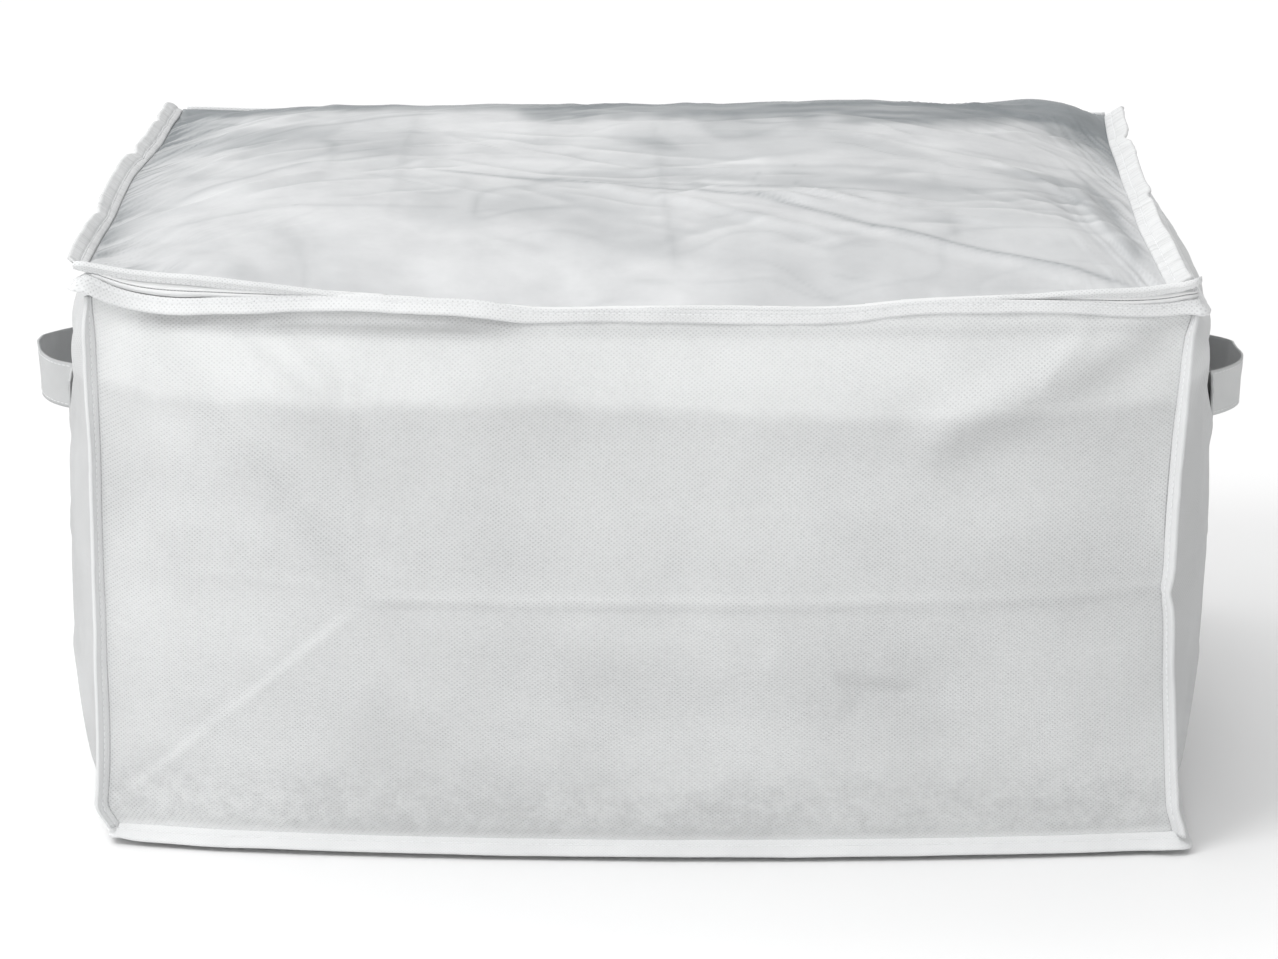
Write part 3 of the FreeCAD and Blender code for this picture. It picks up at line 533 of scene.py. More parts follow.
def front_swell(x, z):
    """A roll under the rim, a hollow below it and broad unevenness."""
    roll = 3.2 * np.exp(-((z - 252 + 6 * noise(x / 140.0, 1.0, 41)) / 17.0) ** 2)
    hollow = -3.0 * np.exp(-((z - 196 + 14 * noise(x / 120.0, 4.0, 42)) / 30.0) ** 2)
    return roll + hollow + 2.6 * fbm(x / 130.0, z / 70.0, 44, 3)


def front_wall():
    x, outward = np.linspace(-HALF_X, HALF_X, WALL_COLUMNS), np.array([0, -1.0, 0])
    g = wall_sheet("front_panel", base_front(x), rim_front(x), ((-1, -1), (1, -1)), outward,
                   belly=9.0, pressure=0.35, size=FRONT_SIZE)
    return mould(g, outward, axis=0, half=HALF_X, top=288, swell=front_swell,
                 folds=FRONT_FOLDS, level=((-140, 141.5), (274, 138.5), 1.15))


def back_wall():
    x, outward = np.linspace(HALF_X, -HALF_X, WALL_COLUMNS), np.array([0, 1.0, 0])
    g = wall_sheet("back_panel", base_rear(x), rear_top(x), ((1, 1), (-1, 1)), outward,
                   belly=9.0, pressure=0.35, size=FRONT_SIZE)
    return mould(g, outward, axis=0, half=HALF_X, top=296,
                 swell=lambda x, z: 2.4 * fbm(x / 120.0, z / 70.0, 54, 3),
                 folds=BACK_FOLDS, level=((-270, 140), (270, 141), 1.0))


def side_wall(sign, name, belly, tall, roll):
    """Side panel; roll is how far it swells out under the rim."""
    y = sign * np.linspace(-HALF_Y, HALF_Y, SIDE_COLUMNS)
    outward = np.array([sign, 0.0, 0.0])
    g = wall_sheet(name, base_side(sign, y), rim_side(sign, y), ((sign, -sign), (sign, sign)),
                   outward, belly, pressure=0.4, size=SIDE_SIZE, tall=tall)
    y, z = g[..., 1], g[..., 2]
    full = roll * bell(z, 264, 20.0) * (1 - np.abs(y / HALF_Y) ** 5) * step(RIM_Z - z, 0, 16)
    return mould(g + full[..., None] * outward, outward, axis=1, half=HALF_Y, top=288,
                 swell=lambda y, z: 2.2 * fbm(y / 110.0, z / 80.0, 60 + sign, 3),
                 folds=SIDE_FOLDS, level=((-222, 141), (222, 139), 1.0))


front_grid = front_wall()
back_grid = back_wall()
left_grid = side_wall(-1, "left_panel", belly=18.0, tall=5.0, roll=9.0)
right_grid = side_wall(1, "right_panel", belly=25.5, tall=4.2, roll=8.0)


# ------------------------------------------------------------------- clear lid
def lid_cloth():
    """Settled lid film; u runs left to right, v front to rear."""
    nu, nv = 118, 96
    low = even_weights(len(lid_front_pts), nu) @ lid_front_pts
    high = rear_top(np.linspace(lid_left_pts[-1, 0], lid_right_pts[-1, 0], nu), LID_REAR_Y)
    left = even_weights(len(lid_left_pts), nv) @ lid_left_pts
    right = even_weights(len(lid_right_pts), nv) @ lid_right_pts
    left[0], right[0], left[-1], right[-1] = low[0], low[-1], high[0], high[-1]
    g = coons(low, high, left, right)
    u = np.linspace(-1, 1, nu)[:, None]
    v = np.linspace(-1, 1, nv)[None, :]
    cap = (1 - np.abs(u) ** 3.2) * (1 - np.abs(v) ** 3.0)
    dome = 17 + 7 * u * (0.4 + 0.6 * v) + 3 * v + 9 * bell(u, 0.52, 0.34) * bell(v, 0.62, 0.36)
    g[..., 2] += dome * cap
    # loose film: hollows and swells of hand size, and a swell at the right rear
    g[..., 2] += cap * (3.6 * fbm(u * 2.3, v * 1.9, 71, 3) + 0.5 * fbm(u * 6, v * 7, 72, 2))
    g[..., 2] += (12.5 * bell(u, 0.90, 0.15) * bell(v, 0.78, 0.22)
                  * (1 - np.abs(u) ** 24) * (1 - np.abs(v) ** 9))
    # it sags at the rear seam on the left
    g[..., 2] -= 12.0 * bell(u, -0.45, 0.42) * bell(v, 0.93, 0.16) * cap ** 0.3
    return relax("lid_film", g, pressure=0.16, slack=0.012, frames=20, stiff=12.0, bend=0.3,
                 smooth=3)


def film_columns():
    """Share of the width at each column; they stand closer together beside the side seams."""
    width = 2 * HALF_X
    side_gap = np.concatenate([np.full(36, 1.15), np.linspace(1.2, 2.5, 12)])
    rest = width - 2 * side_gap.sum()
    count = int(rest / 2.5)
    gaps = np.concatenate([[0], side_gap, np.full(count, rest / count), side_gap[::-1]])
    return np.cumsum(gaps) / width


film = lid_cloth()
film_u, FILM_ROWS = film_columns(), 178
film = resample(film, cubic_weights(film.shape[0], film_u * (film.shape[0] - 1)),
                even_weights(film.shape[1], FILM_ROWS))
film_x, film_y = film[..., 0], film[..., 1]
# distances from the four edges
from_left = (HALF_X * (2 * film_u))[:, None] * np.ones((1, FILM_ROWS))
from_right = 2 * HALF_X - from_left
from_front = np.linspace(0, 2 * HALF_Y, FILM_ROWS)[None, :] * np.ones((len(film_u), 1))
from_rear = 2 * HALF_Y - from_front
from_sides = np.minimum(from_left, from_right)
from_edge = np.minimum(from_sides, np.minimum(from_front, from_rear))
inner = step(from_edge, 0, 14)


def gathers(dist, along, seed, reach, slant=0.0):
    """Fine pleats that run in from a gathered seam and fade."""
    warp = along + slant * dist + 4.0 * noise(along / 26.0, dist / 40.0, seed)
    broad = noise(warp / (5.5 + 3.6 * abs(slant)), dist / 60.0, seed + 1)
    fine = noise(warp / (3.4 + 2.4 * abs(slant)), dist / 30.0, seed + 2)
    reach = reach * (0.7 + 0.5 * noise(along / 20.0, 0.3, seed + 3))
    return step(dist, 0.5, 5.0) * (1.35 * (1 - np.abs(broad) * 2) * np.exp(-dist / reach)
                                   + 0.55 * fine * np.exp(-dist / (reach * 0.45)))


def ridge(start, end, height, width, power, seed, wander=3.0):
    """A raised crease that tapers at both ends; power 1 is a sharp crest, 2 a round one."""
    along, off, length = along_line(film_x, film_y, start, end)
    off = off + wander * noise(along / 40.0, 1.0, seed)
    profile = np.exp(-(np.abs(off) / width) ** power) - 0.45 * bell(off, -width * 1.8, width * 1.6)
    return height * window(along / length, 0, 0.2, 0.75, 1.0) * profile * inner


# start (x, y), end (x, y), height, width, crest power
RIDGES = (
    ((-130, -168), (-130, 150), 0.35, 2.4, 1), ((15, -222), (8, 120), 0.35, 2.6, 1),
    ((-40, -62), (118, -178), 2.2, 4.5, 1), ((90, -140), (250, -222), 2.6, 4.5, 1),
    ((60, -92), (205, -150), 1.5, 3.5, 1), ((-20, -40), (60, -52), 1.8, 4.0, 1),
    ((60, -100), (120, -118), 2.0, 5.0, 1), ((224, -40), (252, -200), 2.4, 6.0, 2),
    ((-262, -120), (-160, -40), 1.6, 5.0, 2), ((-265, -60), (-190, 60), 1.6, 5.0, 2),
    ((-262, 60), (-170, 150), 1.8, 5.0, 2), ((-200, -30), (-80, -20), 1.2, 5.0, 2),
    ((-90, 120), (60, 150), 1.4, 4.0, 1), ((60, 100), (240, 165), 1.6, 4.0, 1),
    ((120, 190), (250, 110), 1.5, 4.0, 1), ((20, 40), (150, 20), 1.2, 4.0, 1),
    ((255, 100), (180, 40), 1.4, 5.0, 2), ((-240, -190), (-150, -150), 1.2, 4.0, 2),
    ((180, -10), (238, -90), 1.4, 4.0, 1))


def short_wrinkles():
    """Short crisp wrinkles, most of them running across the lid."""
    random = np.random.RandomState(77)
    total = np.zeros_like(film_x)
    for k in range(110):
        x, y = random.uniform(-235, 245), random.uniform(-190, 185)
        if x < -60 and random.uniform() < 0.35:
            continue
        half = random.uniform(16, 50)
        slope = random.normal(-0.45 if x > 60 else (0.55 if x < -110 else -0.15), 0.42)
        along, off, _ = along_line(film_x, film_y, (x, y), (x + 1, y + slope))
        off = off + 2.2 * noise(along / 18.0, k * 1.7, 300 + k)
        width = random.uniform(1.8, 4.2)
        line = bell(off, 0, width) - 0.8 * bell(off, width * 1.7, width * 1.2)
        total = total + random.uniform(0.35, 1.0) * np.exp(-(along / half) ** 4) * line
    return total


def film_relief():
    """Height added to the settled film."""
    relief = (gathers(from_left, film_y, 81, 22.0, -1.5)
              + gathers(from_right, film_y, 91, 26.0, -4.2))
    relief = relief * step(from_front, 0, 20) * step(from_rear, 0, 16)
    relief = relief + 0.5 * gathers(from_front, film_x, 101, 9.0) * step(from_sides, 0, 20)
    for seed, row in enumerate(RIDGES, start=3):
        relief = relief + ridge(*row, seed)
    # a comb of nine small creases right of the middle
    for k in range(9):
        relief = relief + ridge((48 + 9 * k, -92 - 3 * (k % 3)),
                                (84 + 9 * k, -112 - 2 * ((k * 2) % 5)),
                                height=1.0, width=2.6, power=1, seed=30 + k, wander=1.5)
    relief = relief + 0.55 * wrinkles * inner * step(from_edge, 4, 26)
    # crumple: short sharp facets, stronger near the rear and the right
    zone = np.clip(0.35 + 0.5 * step(film_y, 0, 180) + 0.35 * step(film_x, 40, 220), 0, 1)
    coarse = np.abs(noise(film_x / 95.0 + film_y / 160.0, film_y / 26.0 + film_x / 190.0, 111))
    fine = np.abs(noise(film_x / 42.0, film_y / 11.0 + film_x / 70.0, 112))
    return relief + (-1.5 * coarse - 0.35 * fine) * zone * inner


wrinkles = short_wrinkles()
film = film + film_relief()[..., None] * UP


# The film's grey attribute is 1 where the film is painted grey and 0 where it is milky; it carries
# painted shade for the inside seen through the film and along seams, creases and wrinkles, and
# painted light on wrinkle crests.
def sight_drop(g):
    """How far points sit below the camera's axis, in thousandths of their depth."""
    d = g * 0.001 - np.array(CAMERA_AT)
    c, s = math.cos(CAMERA_PITCH), math.sin(CAMERA_PITCH)
    return -1000.0 * (d[..., 1] * s + d[..., 2] * c) / (d[..., 1] * c - d[..., 2] * s)


def crest_band():
    """Grey band of painted shade for the inside seen through the film, just below the film's
    skyline seen from the camera, and behind it.
    """
    sight = sight_drop(film)
    crest = (FILM_ROWS - 1 - sight[:, ::-1].argmin(axis=1))[:, None]
    drop = sight - sight.min(axis=1, keepdims=True)
    row = np.arange(FILM_ROWS)[None, :]
    ragged = (0.920863 * noise(film_x / 48.0, film_y / 90.0, 126)
              + 0.460432 * noise(film_x / 13.0, film_y / 40.0, 127))
    height = (1.294964 + 2.158273 * step(film_x, -120, 20) + 1.294964 * step(film_x, 20, 120)
              - 0.575540 * step(film_x, 190, 250) + ragged)
    band = fall(drop, np.maximum(height - 1.438849, 0.287770), height + 1.726619)
    past = np.clip((row - crest) / 14.0, 0, 1)
    rear = 1.0 - 0.70 * past * (0.8 + 0.5 * noise(film_x / 70.0, film_y / 25.0, 129))
    streak = 0.5 + 0.5 * noise(film_x / 45.0, drop / 0.6906475 + film_x / 120.0, 128)
    return (np.where(row >= crest, rear, band) * (0.66 + 0.4 * streak)
            * (0.72 + 0.28 * step(film_x, -160, -20)))


def combs(dist, seed, slant, reach):
    """Thin dark streaks of painted shade in the pleats running in from a side seam, thicker at the
    seam.
    """
    k = film_y + slant * dist + 5.0 * noise(dist / 30.0, film_y / 50.0, seed)
    wide = 1 + 0.80 * abs(slant)
    a = 1 - np.abs(noise(k / (5.2 * wide), dist / 75.0, seed + 1)) * 2.6
    b = 1 - np.abs(noise(k / (3.1 * wide), dist / 50.0, seed + 2)) * 2.6
    reach = reach * (0.45 + 1.1 * np.abs(noise(film_y / 24.0, 0.5, seed + 3)))
    return (np.clip(np.maximum(a, 0.7 * b), 0, 1) * np.exp(-(dist / reach) ** 1.3)
            * step(dist, 0, 3))


def seam_shadows():
    """Dark streaks and bands beside the side seams."""
    left, right, y = from_left, from_right, film_y
    wide = 8.0 + 34.0 * step(y, 20, 170)
    return (1.25 * combs(left, 130, -1.4, 26.0) * (0.60 + 0.40 * step(y, -60, 120))
            + 0.38 * combs(left, 150, -1.0, 80.0) * (0.35 + 0.65 * step(y, -20, 140))
            + 0.62 * combs(right, 135, -3.6, 28.0) * (0.45 + 0.55 * step(y, -30, 150))
            + 0.22 * np.exp(-left / 9.0)
            + 0.75 * np.exp(-(right / wide) ** 1.5) * step(y, -10, 70)
            + 0.65 * np.exp(-(left / 48.0) ** 1.4) * step(y, 60, 190))


def soft_shadows():
    """Long soft shadows with warped outlines."""
    x = film_x + 12.0 * noise(film_x / 60.0, film_y / 85.0, 144)
    y = film_y + 26.0 * noise(film_x / 52.0, film_y / 75.0, 145)
    broad = noise(x / 66.0 + y / 300.0, y / 56.0, 141)
    small = noise(x / 27.0, y / 26.0 + x / 90.0, 142)
    line = 1 - np.abs(noise(x / 64.0 + 3, y / 44.0 - x / 160.0, 143)) * 7.0
    long_line = 1 - np.abs(noise(x / 110.0, y / 30.0 + x / 120.0, 146)) * 6.0
    shade = (0.34 * np.maximum(broad, 0) ** 1.15 + 0.10 * np.maximum(small, 0)
             + 0.17 * np.clip(line, 0, 1) * np.maximum(broad + 0.45, 0)
             + 0.20 * np.clip(long_line, 0, 1) * np.maximum(small + 0.25, 0))
    return shade * inner * (0.55 + 0.45 * step(film_y, -170, -60))


def shade_stroke(veil, line, width, strength, soft=1.3):
    """Paints shade along a polyline, fading at its ends."""
    last = len(line) - 2
    for k, (start, end) in enumerate(zip(line, line[1:])):
        along, off, length = along_line(film_x, film_y, start, end)
        fade = (((0, 0.25) if k == 0 else (-0.01, 0.0))
                + ((0.8, 1.0) if k == last else (1.0, 1.01)))
        w = window(along / length, *fade) * np.exp(-(np.abs(off) / width) ** soft)
        veil = np.maximum(veil, veil + strength * w * (1 - veil))
    return veil


# lines of painted shade along folds and creases: points (x, y), half width, strength and, where it
# isn't 1.3, power of the fall-off
SHADE_STROKES = (
    (((-130, -140), (-131, 30), (-129, 120)), 2.6, 0.10),
    (((17, -205), (10, -90), (4, 90)), 2.6, 0.12),
    (((-120, -40), (-30, -70), (60, -100), (118, -150), (255, -222)), 2.2, 0.52),
    (((-60, -58), (60, -86), (150, -100)), 2.6, 0.36),
    (((-60, -46), (60, -62), (190, -96)), 13.0, 0.22, 2.0),
    (((-10, -30), (80, -48), (150, -58)), 5.0, 0.18, 2.0),
    (((-250, -90), (-200, -40), (-130, 0)), 3.0, 0.28),
    (((-252, 30), (-190, 80), (-110, 110)), 3.0, 0.30),
    (((-245, -150), (-180, -120), (-90, -118)), 3.0, 0.18),
    (((-30, 130), (90, 120), (230, 90)), 8.0, 0.20, 2.0),
    (((232, 10), (246, -90), (252, -190)), 3.2, 0.30),
    (((212, -10), (236, -110), (250, -205)), 2.4, 0.22),
    (((-150, 60), (-60, 30), (40, 26)), 6.0, 0.12),
    (((-110, 0), (20, -28), (90, -20)), 5.0, 0.12),
    (((60, 40), (160, 60), (240, 30)), 5.0, 0.12),
    (((30, -60), (80, -84), (140, -78)), 7.0, 0.22, 2.0))

# the film's grey: painted shade for the inside seen through, painted seam shade, painted light on
# wrinkle crests with shade beside them, soft painted shadows, then painted shade along creases
veil = crest_band() + seam_shadows() - 0.17 * wrinkles * inner + soft_shadows()
for row in SHADE_STROKES:
    veil = shade_stroke(veil, *row)
film_obj = shell("visual_lid_film", film, 0.35, veil=np.clip(veil, 0, 1))


# ----------------------------------------------------- floor panel, wall shades
def floor_grid():
    x = np.linspace(-HALF_X, HALF_X, 150)
    y = np.linspace(HALF_Y, -HALF_Y, 124)
    low, high = base_rear(x), base_front(x)
    left, right = base_side(-1, y), base_side(1, y)
    left[0], left[-1], right[0], right[-1] = low[0], high[0], low[-1], high[-1]
    g = coons(low, high, left, right)
    u = np.linspace(-1, 1, len(x))[:, None]
    v = np.linspace(-1, 1, len(y))[None, :]
    d = np.minimum(HALF_X * (1 - np.abs(u)), HALF_Y * (1 - np.abs(v)))
    g[..., 2] -= 5.6 * step(d, 0, 16)
    g[..., 2] += 1.1 * np.maximum(0, fbm(u * 3.0, v * 2.6, 131, 3)) * step(d, 8, 30)
    x, y = g[..., 0], g[..., 1]
    for start, end in (((-270, 1), (270, -2)), ((2, 220), (-1, -220))):
        g = crease(g, x, y, UP, step(d, 0, 8), start, end, depth=0.7, width=2.4, sharp=1.8,
                   taper=False)
    g[..., 2] = np.maximum(g[..., 2], 0.9)
    return g


def wall_painted_shading(g, axis, seed):
    """Painted light in a band under the rim and along the base, with clouds of painted shade
    between.
    """
    along, z = g[..., axis], g[..., 2]
    ragged = 7 * noise(along / 90.0, 0.5, seed) + 2.0 * noise(along / 16.0, z / 30.0, seed + 4)
    tone = (0.33 + 0.55 * step(z + ragged, 234, 244)
            + 0.30 * fbm(along / 110.0, z / 50.0, seed + 1, 3) + 0.16 * fall(z, 40, 130)
            - 0.06 * window(z, 10, 18, 34, 60) + 0.75 * fall(z, 9, 15))
    return np.clip(tone, -0.4, 1.2)


# Shaded fold lines on the front: start (x, z), end, change of tone, half width, and the
# shares of the length where it has come in and starts to go.
FRONT_SHADES = (
    ((262, 278), (120, 205), -0.42, 13.0, 0.15, 0.7),
    ((-262, 280), (-150, 150), -0.20, 10.0, 0.15, 0.7),
    ((-205, 278), (-150, 235), -0.22, 4.0, 0.15, 0.7),
    ((98, 100), (142, 95), -0.35, 2.6, 0.15, 0.7),
    ((-268, 24), (-136, 142), 0.26, 2.4, 0.1, 0.9))


def front_painted_shading():
    x, z = front_grid[..., 0], front_grid[..., 2]
    tone = wall_painted_shading(front_grid, 0, 251)
    # painted light: a patch at the upper left and a band at mid height
    tone = tone + 0.25 * bell(x, -225, 60.0) * bell(z, 245, 60.0) + 0.12 * bell(z, 128, 26.0)
    # shade under the hem, deeper on the left
    tone = tone - 1.65 * bell(z, 278.0, 4.2) * window(-x, 40, 90, 236, 262)
    tone = tone - 0.40 * bell(z, 277.5, 3.0) * step(x, -60, -30)
    # painted light on the upper and painted shade on the lower side of the level fold
    level = 0.16 * bell(z, 144.5, 3.4) - 0.26 * bell(z, 139.5, 2.6)
    tone = tone + level * window(x, -150, -120, 268, 275)
    for start, end, change, width, full, going in FRONT_SHADES:
        along, off, length = along_line(x, z, start, end)
        tone = tone + change * window(along / length, 0, full, going, 1.0) * bell(off, 0, width)
    return tone


CLOTH_THICK = 0.8
bottom_grid = floor_grid()
# the left and right walls get extra painted shade, the left one more
bottom_obj, front_obj, back_obj, left_obj, right_obj = (
    shell("visual_%s_panel" % side, grid, CLOTH_THICK, tone=tone) for side, grid, tone in (
        ("bottom", bottom_grid, np.full(bottom_grid.shape[:2], 0.35)),
        ("front", front_grid, front_painted_shading()),
        ("back", back_grid, wall_painted_shading(back_grid, 0, 261)),
        ("left", left_grid, wall_painted_shading(left_grid, 1, 271) - 0.8),
        ("right", right_grid, wall_painted_shading(right_grid, 1, 281) - 0.25)))


# ------------------------------------------------------------------- bindings
def join_runs(runs):
    """Joins seam runs (points, outward, turns after?), fanning outward round each turn."""
    lines, outs = [], []
    for k, (line, out, turns) in enumerate(runs):
        out = np.broadcast_to(out, line.shape)
        lines.append(line)
        outs.append(out)
        if turns:
            following = np.atleast_2d(runs[(k + 1) % len(runs)][1])[0]
            for f in np.linspace(0, 1, 9)[1:-1]:
                lines.append(line[-1:])
                outs.append(unit(out[-1] * (1 - f) + following * f)[None])
    return np.concatenate(lines), np.concatenate(outs)


def pill(start, end, half, groove=3.8, dig=0.45):
    """Flat rounded section from start to end, with a stitched dip on both faces."""
    a = np.linspace(end - half, start + half * 0.6, 16)
    b = half - dig * bell(a, groove, 0.8)
    tip = [(end - half + half * math.cos(t), half * math.sin(t))
           for t in np.linspace(-math.pi / 2, math.pi / 2, 7)[:-1]]
    root = [(start + half * 0.6 - half * 0.6 * math.sin(t), half * math.cos(t))
            for t in np.linspace(0, math.pi, 6)[1:-1]]
    return np.array(tip + list(zip(a, b)) + root + list(zip(a[::-1], -b[::-1]))[:-1])


def flange(name, root, out, angle, section, seed, length=1.0, pucker=0.3, pitch=6.0,
           closed=False, wave=0.8, up=UP, tone=0.8):
    """Sweeps a section along a seam, angle degrees above outward; also gives its frame."""
    n = len(root)
    s = arc(root) + arc(out) * 6.0
    near_end = np.ones(n) if closed else window(s, 0, 8, s[-1] - 8, s[-1])
    up = np.broadcast_to(up, root.shape)
    lean = (np.radians(angle) + 0.10 * wave * fbm(s / 45.0, 0.5, seed, 3) * near_end)[:, None]
    a_dir = np.cos(lean) * out + np.sin(lean) * up
    b_dir = -np.sin(lean) * out + np.cos(lean) * up
    length = length * (1 + 0.05 * wave * fbm(s / 30.0, 7.7, seed + 9, 2) * near_end)
    a = section[None, :, 0] * length[:, None]
    far = np.clip(section[:, 0] / section[:, 0].max(), 0, 1)[None, :]
    lift = pucker * (noise(s / pitch, 1.5, seed + 3)
                     + 0.5 * noise(s / (pitch * 0.43), 4.5, seed + 4)) * near_end
    swell = 0.22 * pucker * noise(s / (pitch * 0.35), 8.5, seed + 6)
    b = (section[None, :, 1] + lift[:, None] * far ** 1.2
         + np.sign(section[None, :, 1]) * swell[:, None] * far)
    rings = root[:, None, :] + a[..., None] * a_dir[:, None, :] + b[..., None] * b_dir[:, None, :]
    tones = np.repeat(np.broadcast_to(tone, (n,))[:, None], len(section), 1)
    return (sweep(name, rings, closed=closed, tone=tones),
            dict(root=root, a_dir=a_dir, b_dir=b_dir, length=length))


def rim_binding():
    """Long soft hem in front, plain folded strip on the sides."""
    front_x = np.linspace(-HALF_X, HALF_X, 221)
    down = np.linspace(221.0, -HALF_Y, 179)
    root, out = join_runs([
        (rim_side(-1, down), (-1, 0, 0), True),
        (rim_front(front_x), unit(points(0.11 * front_x / HALF_X, -1.0, 0.0)), True),
        (rim_side(1, down[::-1]), (1, 0, 0), False)])
    x, y = root[:, 0], root[:, 1]
    is_front = np.abs(out[:, 1]) > 0.7
    closed_part = step(x, -75, -45)
    angle = smooth_run(np.where(is_front, -74.0 + 22 * (1 - closed_part), -47.0), 6)
    length = smooth_run(np.where(is_front, 0.84 - 0.24 * closed_part, 0.92), 6)
    right_corner = bell(x, 275, 12.0) * (np.abs(y + 226) < 14)
    left_corner = bell(x, -275, 16.0) * bell(y, -225, 22.0)
    front_tones = 0.30 + 0.12 * fall(x, -120, -30) + 0.16 * step(x, 40, 200)
    return flange("visual_rim_binding", root, out, angle + 20.0 * left_corner,
                  pill(0.0, 11.0, 1.35),
                  length=length * (1 + 0.10 * right_corner + 0.30 * left_corner),
                  pucker=0.42, pitch=9.0, seed=141, wave=1.1,
                  tone=np.where(is_front, front_tones, 0.70)
                  + 0.12 * noise(x / 22.0, y / 22.0, 149))


def bottom_binding():
    y, x = np.linspace(-HALF_Y, HALF_Y, 150), np.linspace(-HALF_X, HALF_X, 184)
    root, out = join_runs([
        (base_side(-1, y[::-1]), (-1, 0, 0), True), (base_front(x), (0, -1, 0), True),
        (base_side(1, y), (1, 0, 0), True), (base_rear(x[::-1]), (0, 1, 0), True)])
    front = np.clip(-out[:, 1], 0, 1) ** 2
    left_corner, right_corner = (
        np.exp(-((root[:, 0] - sign * HALF_X) ** 2 + (root[:, 1] + HALF_Y) ** 2) / 120.0)
        for sign in (-1, 1))
    return flange("visual_bottom_binding", root + UP * (3.8 * front)[:, None], out,
                  -22.0 - 34.0 * front + 16.0 * right_corner * front,
                  pill(0.0, 8.2, 1.15, groove=3.2, dig=0.25),
                  length=1.0 + 0.17 * front + 0.20 * right_corner - 0.35 * left_corner,
                  pucker=0.26, pitch=9.0, seed=151, closed=True, wave=0.5)


def corner_binding(side_x, side_y, tag):
    z = np.linspace(9.5, 289.0, 132)
    right_front = side_x > 0 and side_y < 0
    out = unit([side_x * (0.72 if right_front else 1.0), side_y, 0.0])
    sway = 0.16 * noise(z / 60.0, 2.2 + side_x, 161 + 3 * side_y)
    out = unit(points(out[0], out[1] + sway, 0.0))
    length = ((0.64 if side_x < 0 else 0.70) if side_y < 0 else 0.88) + 0.04 * np.sin(z / 37.0)
    length = length * (1 - 0.62 * step(z, 268, 289))
    if right_front:
        length = length * (1 - 0.30 * step(z, 236, 275)) * (1 - 0.16 * bell(z, 139, 4.0))
        length = length * (1 + 0.18 * fall(z, 10, 30))
    return flange("visual_corner_binding_" + tag, column(side_x, side_y, z), out, 0.0,
                  pill(-1.2, 10.0, 1.3, groove=4.0), length=length, pucker=0.30, pitch=13.0,
                  seed=165 + 2 * side_x + side_y, wave=0.55, up=np.cross(out, UP))


def rear_binding():
    """Rear hem, lying flat on the rear panel."""
    root = rear_top(np.linspace(272.5, -272.5, 230)) + np.array([0, 1.2, 0.9])
    return flange("visual_rear_binding", root, np.broadcast_to([0, 1.0, 0], root.shape), -88.0,
                  pill(-0.4, 10.2, 1.05, groove=7.2), pucker=0.28, pitch=11.0, seed=181,
                  wave=0.5)


def lid_side_binding(tag, root, sign, angle, length, notches, seed):
    """Gathered strip; notches are (depth, y, width) of its narrow places."""
    y = root[:, 1]
    narrow = 1 - sum(depth * bell(y, at, width) for depth, at, width in notches)
    round_end = 1 - 0.45 * step(y, 203, 217)
    return flange("visual_lid_binding_" + tag, root, np.broadcast_to([sign, 0.0, 0], root.shape),
                  angle, pill(-0.3, 9.4, 1.25, groove=3.3), length=length * narrow * round_end,
                  pucker=1.0, pitch=5.2, seed=seed, wave=1.3)


def lid_front_binding():
    """Front welt; it runs on past both corners and ends in rounded stubs."""
    # steps past the corner seams, and the share of the width at the end stations
    past_left = ((-6.0, 1.0, 1.4), (-3.0, 0.3, 0.6))
    past_right = ((5.0, -0.6, 0.8), (10.5, 0.2, 2.4), (15.0, 2.0, 4.4))
    root = np.concatenate([lid_front_pts[:1] + past_left, lid_front_pts,
                           lid_front_pts[-1:] + past_right])
    end_cap = np.ones(len(root))
    end_cap[-3:] = (0.93, 0.8, 0.5)
    end_cap[:2] = (0.6, 0.9)
    x = root[:, 0]
    return flange("visual_lid_binding_front", root, np.broadcast_to([0, -1.0, 0.0], root.shape),
                  48.0, pill(-0.3, 9.0, 1.6, groove=3.0, dig=0.5),
                  length=(0.64 - 0.08 * tucked(x)) * end_cap, pucker=0.35, pitch=12.0,
                  seed=211, wave=1.0, tone=0.34 + 0.35 * step(x, 200, 270))


rim_obj, rim_frame = rim_binding()
base_obj, base_frame = bottom_binding()
corner_objs, corner_frames = zip(*(corner_binding(*corner) for corner in (
    (-1, -1, "front_left"), (1, -1, "front_right"), (-1, 1, "rear_left"), (1, 1, "rear_right"))))
rear_obj, rear_frame = rear_binding()
REAR_TRIM = 5       # stations left off at the rear end of the lid's side seams
lid_left_obj, lid_left_frame = lid_side_binding(
    "left", lid_left_pts[::-1][REAR_TRIM:], -1, angle=38.0, length=1.18, seed=191,
    notches=((0.25, 60, 7.0), (0.18, -105, 9.0), (0.2, 150, 6.0)))
lid_right_obj, lid_right_frame = lid_side_binding(
    "right", lid_right_pts[:-REAR_TRIM], 1, angle=31.0, length=1.34, seed=201,
    notches=((0.22, 110, 7.0), (0.18, -60, 9.0)))
lid_front_obj, lid_front_frame = lid_front_binding()


# ------------------------------------------------------------------------ zip
def zip_side_z(sign, y):
    corner_z = (0.5 * (RIM_LEFT_CORNER + lid_front_pts[0, 2]) if sign < 0
                else 0.5 * (291.6 + lid_front_pts[-1, 2]))
    return 295.9 + (corner_z - 295.9) * fall(y, -224, -196)


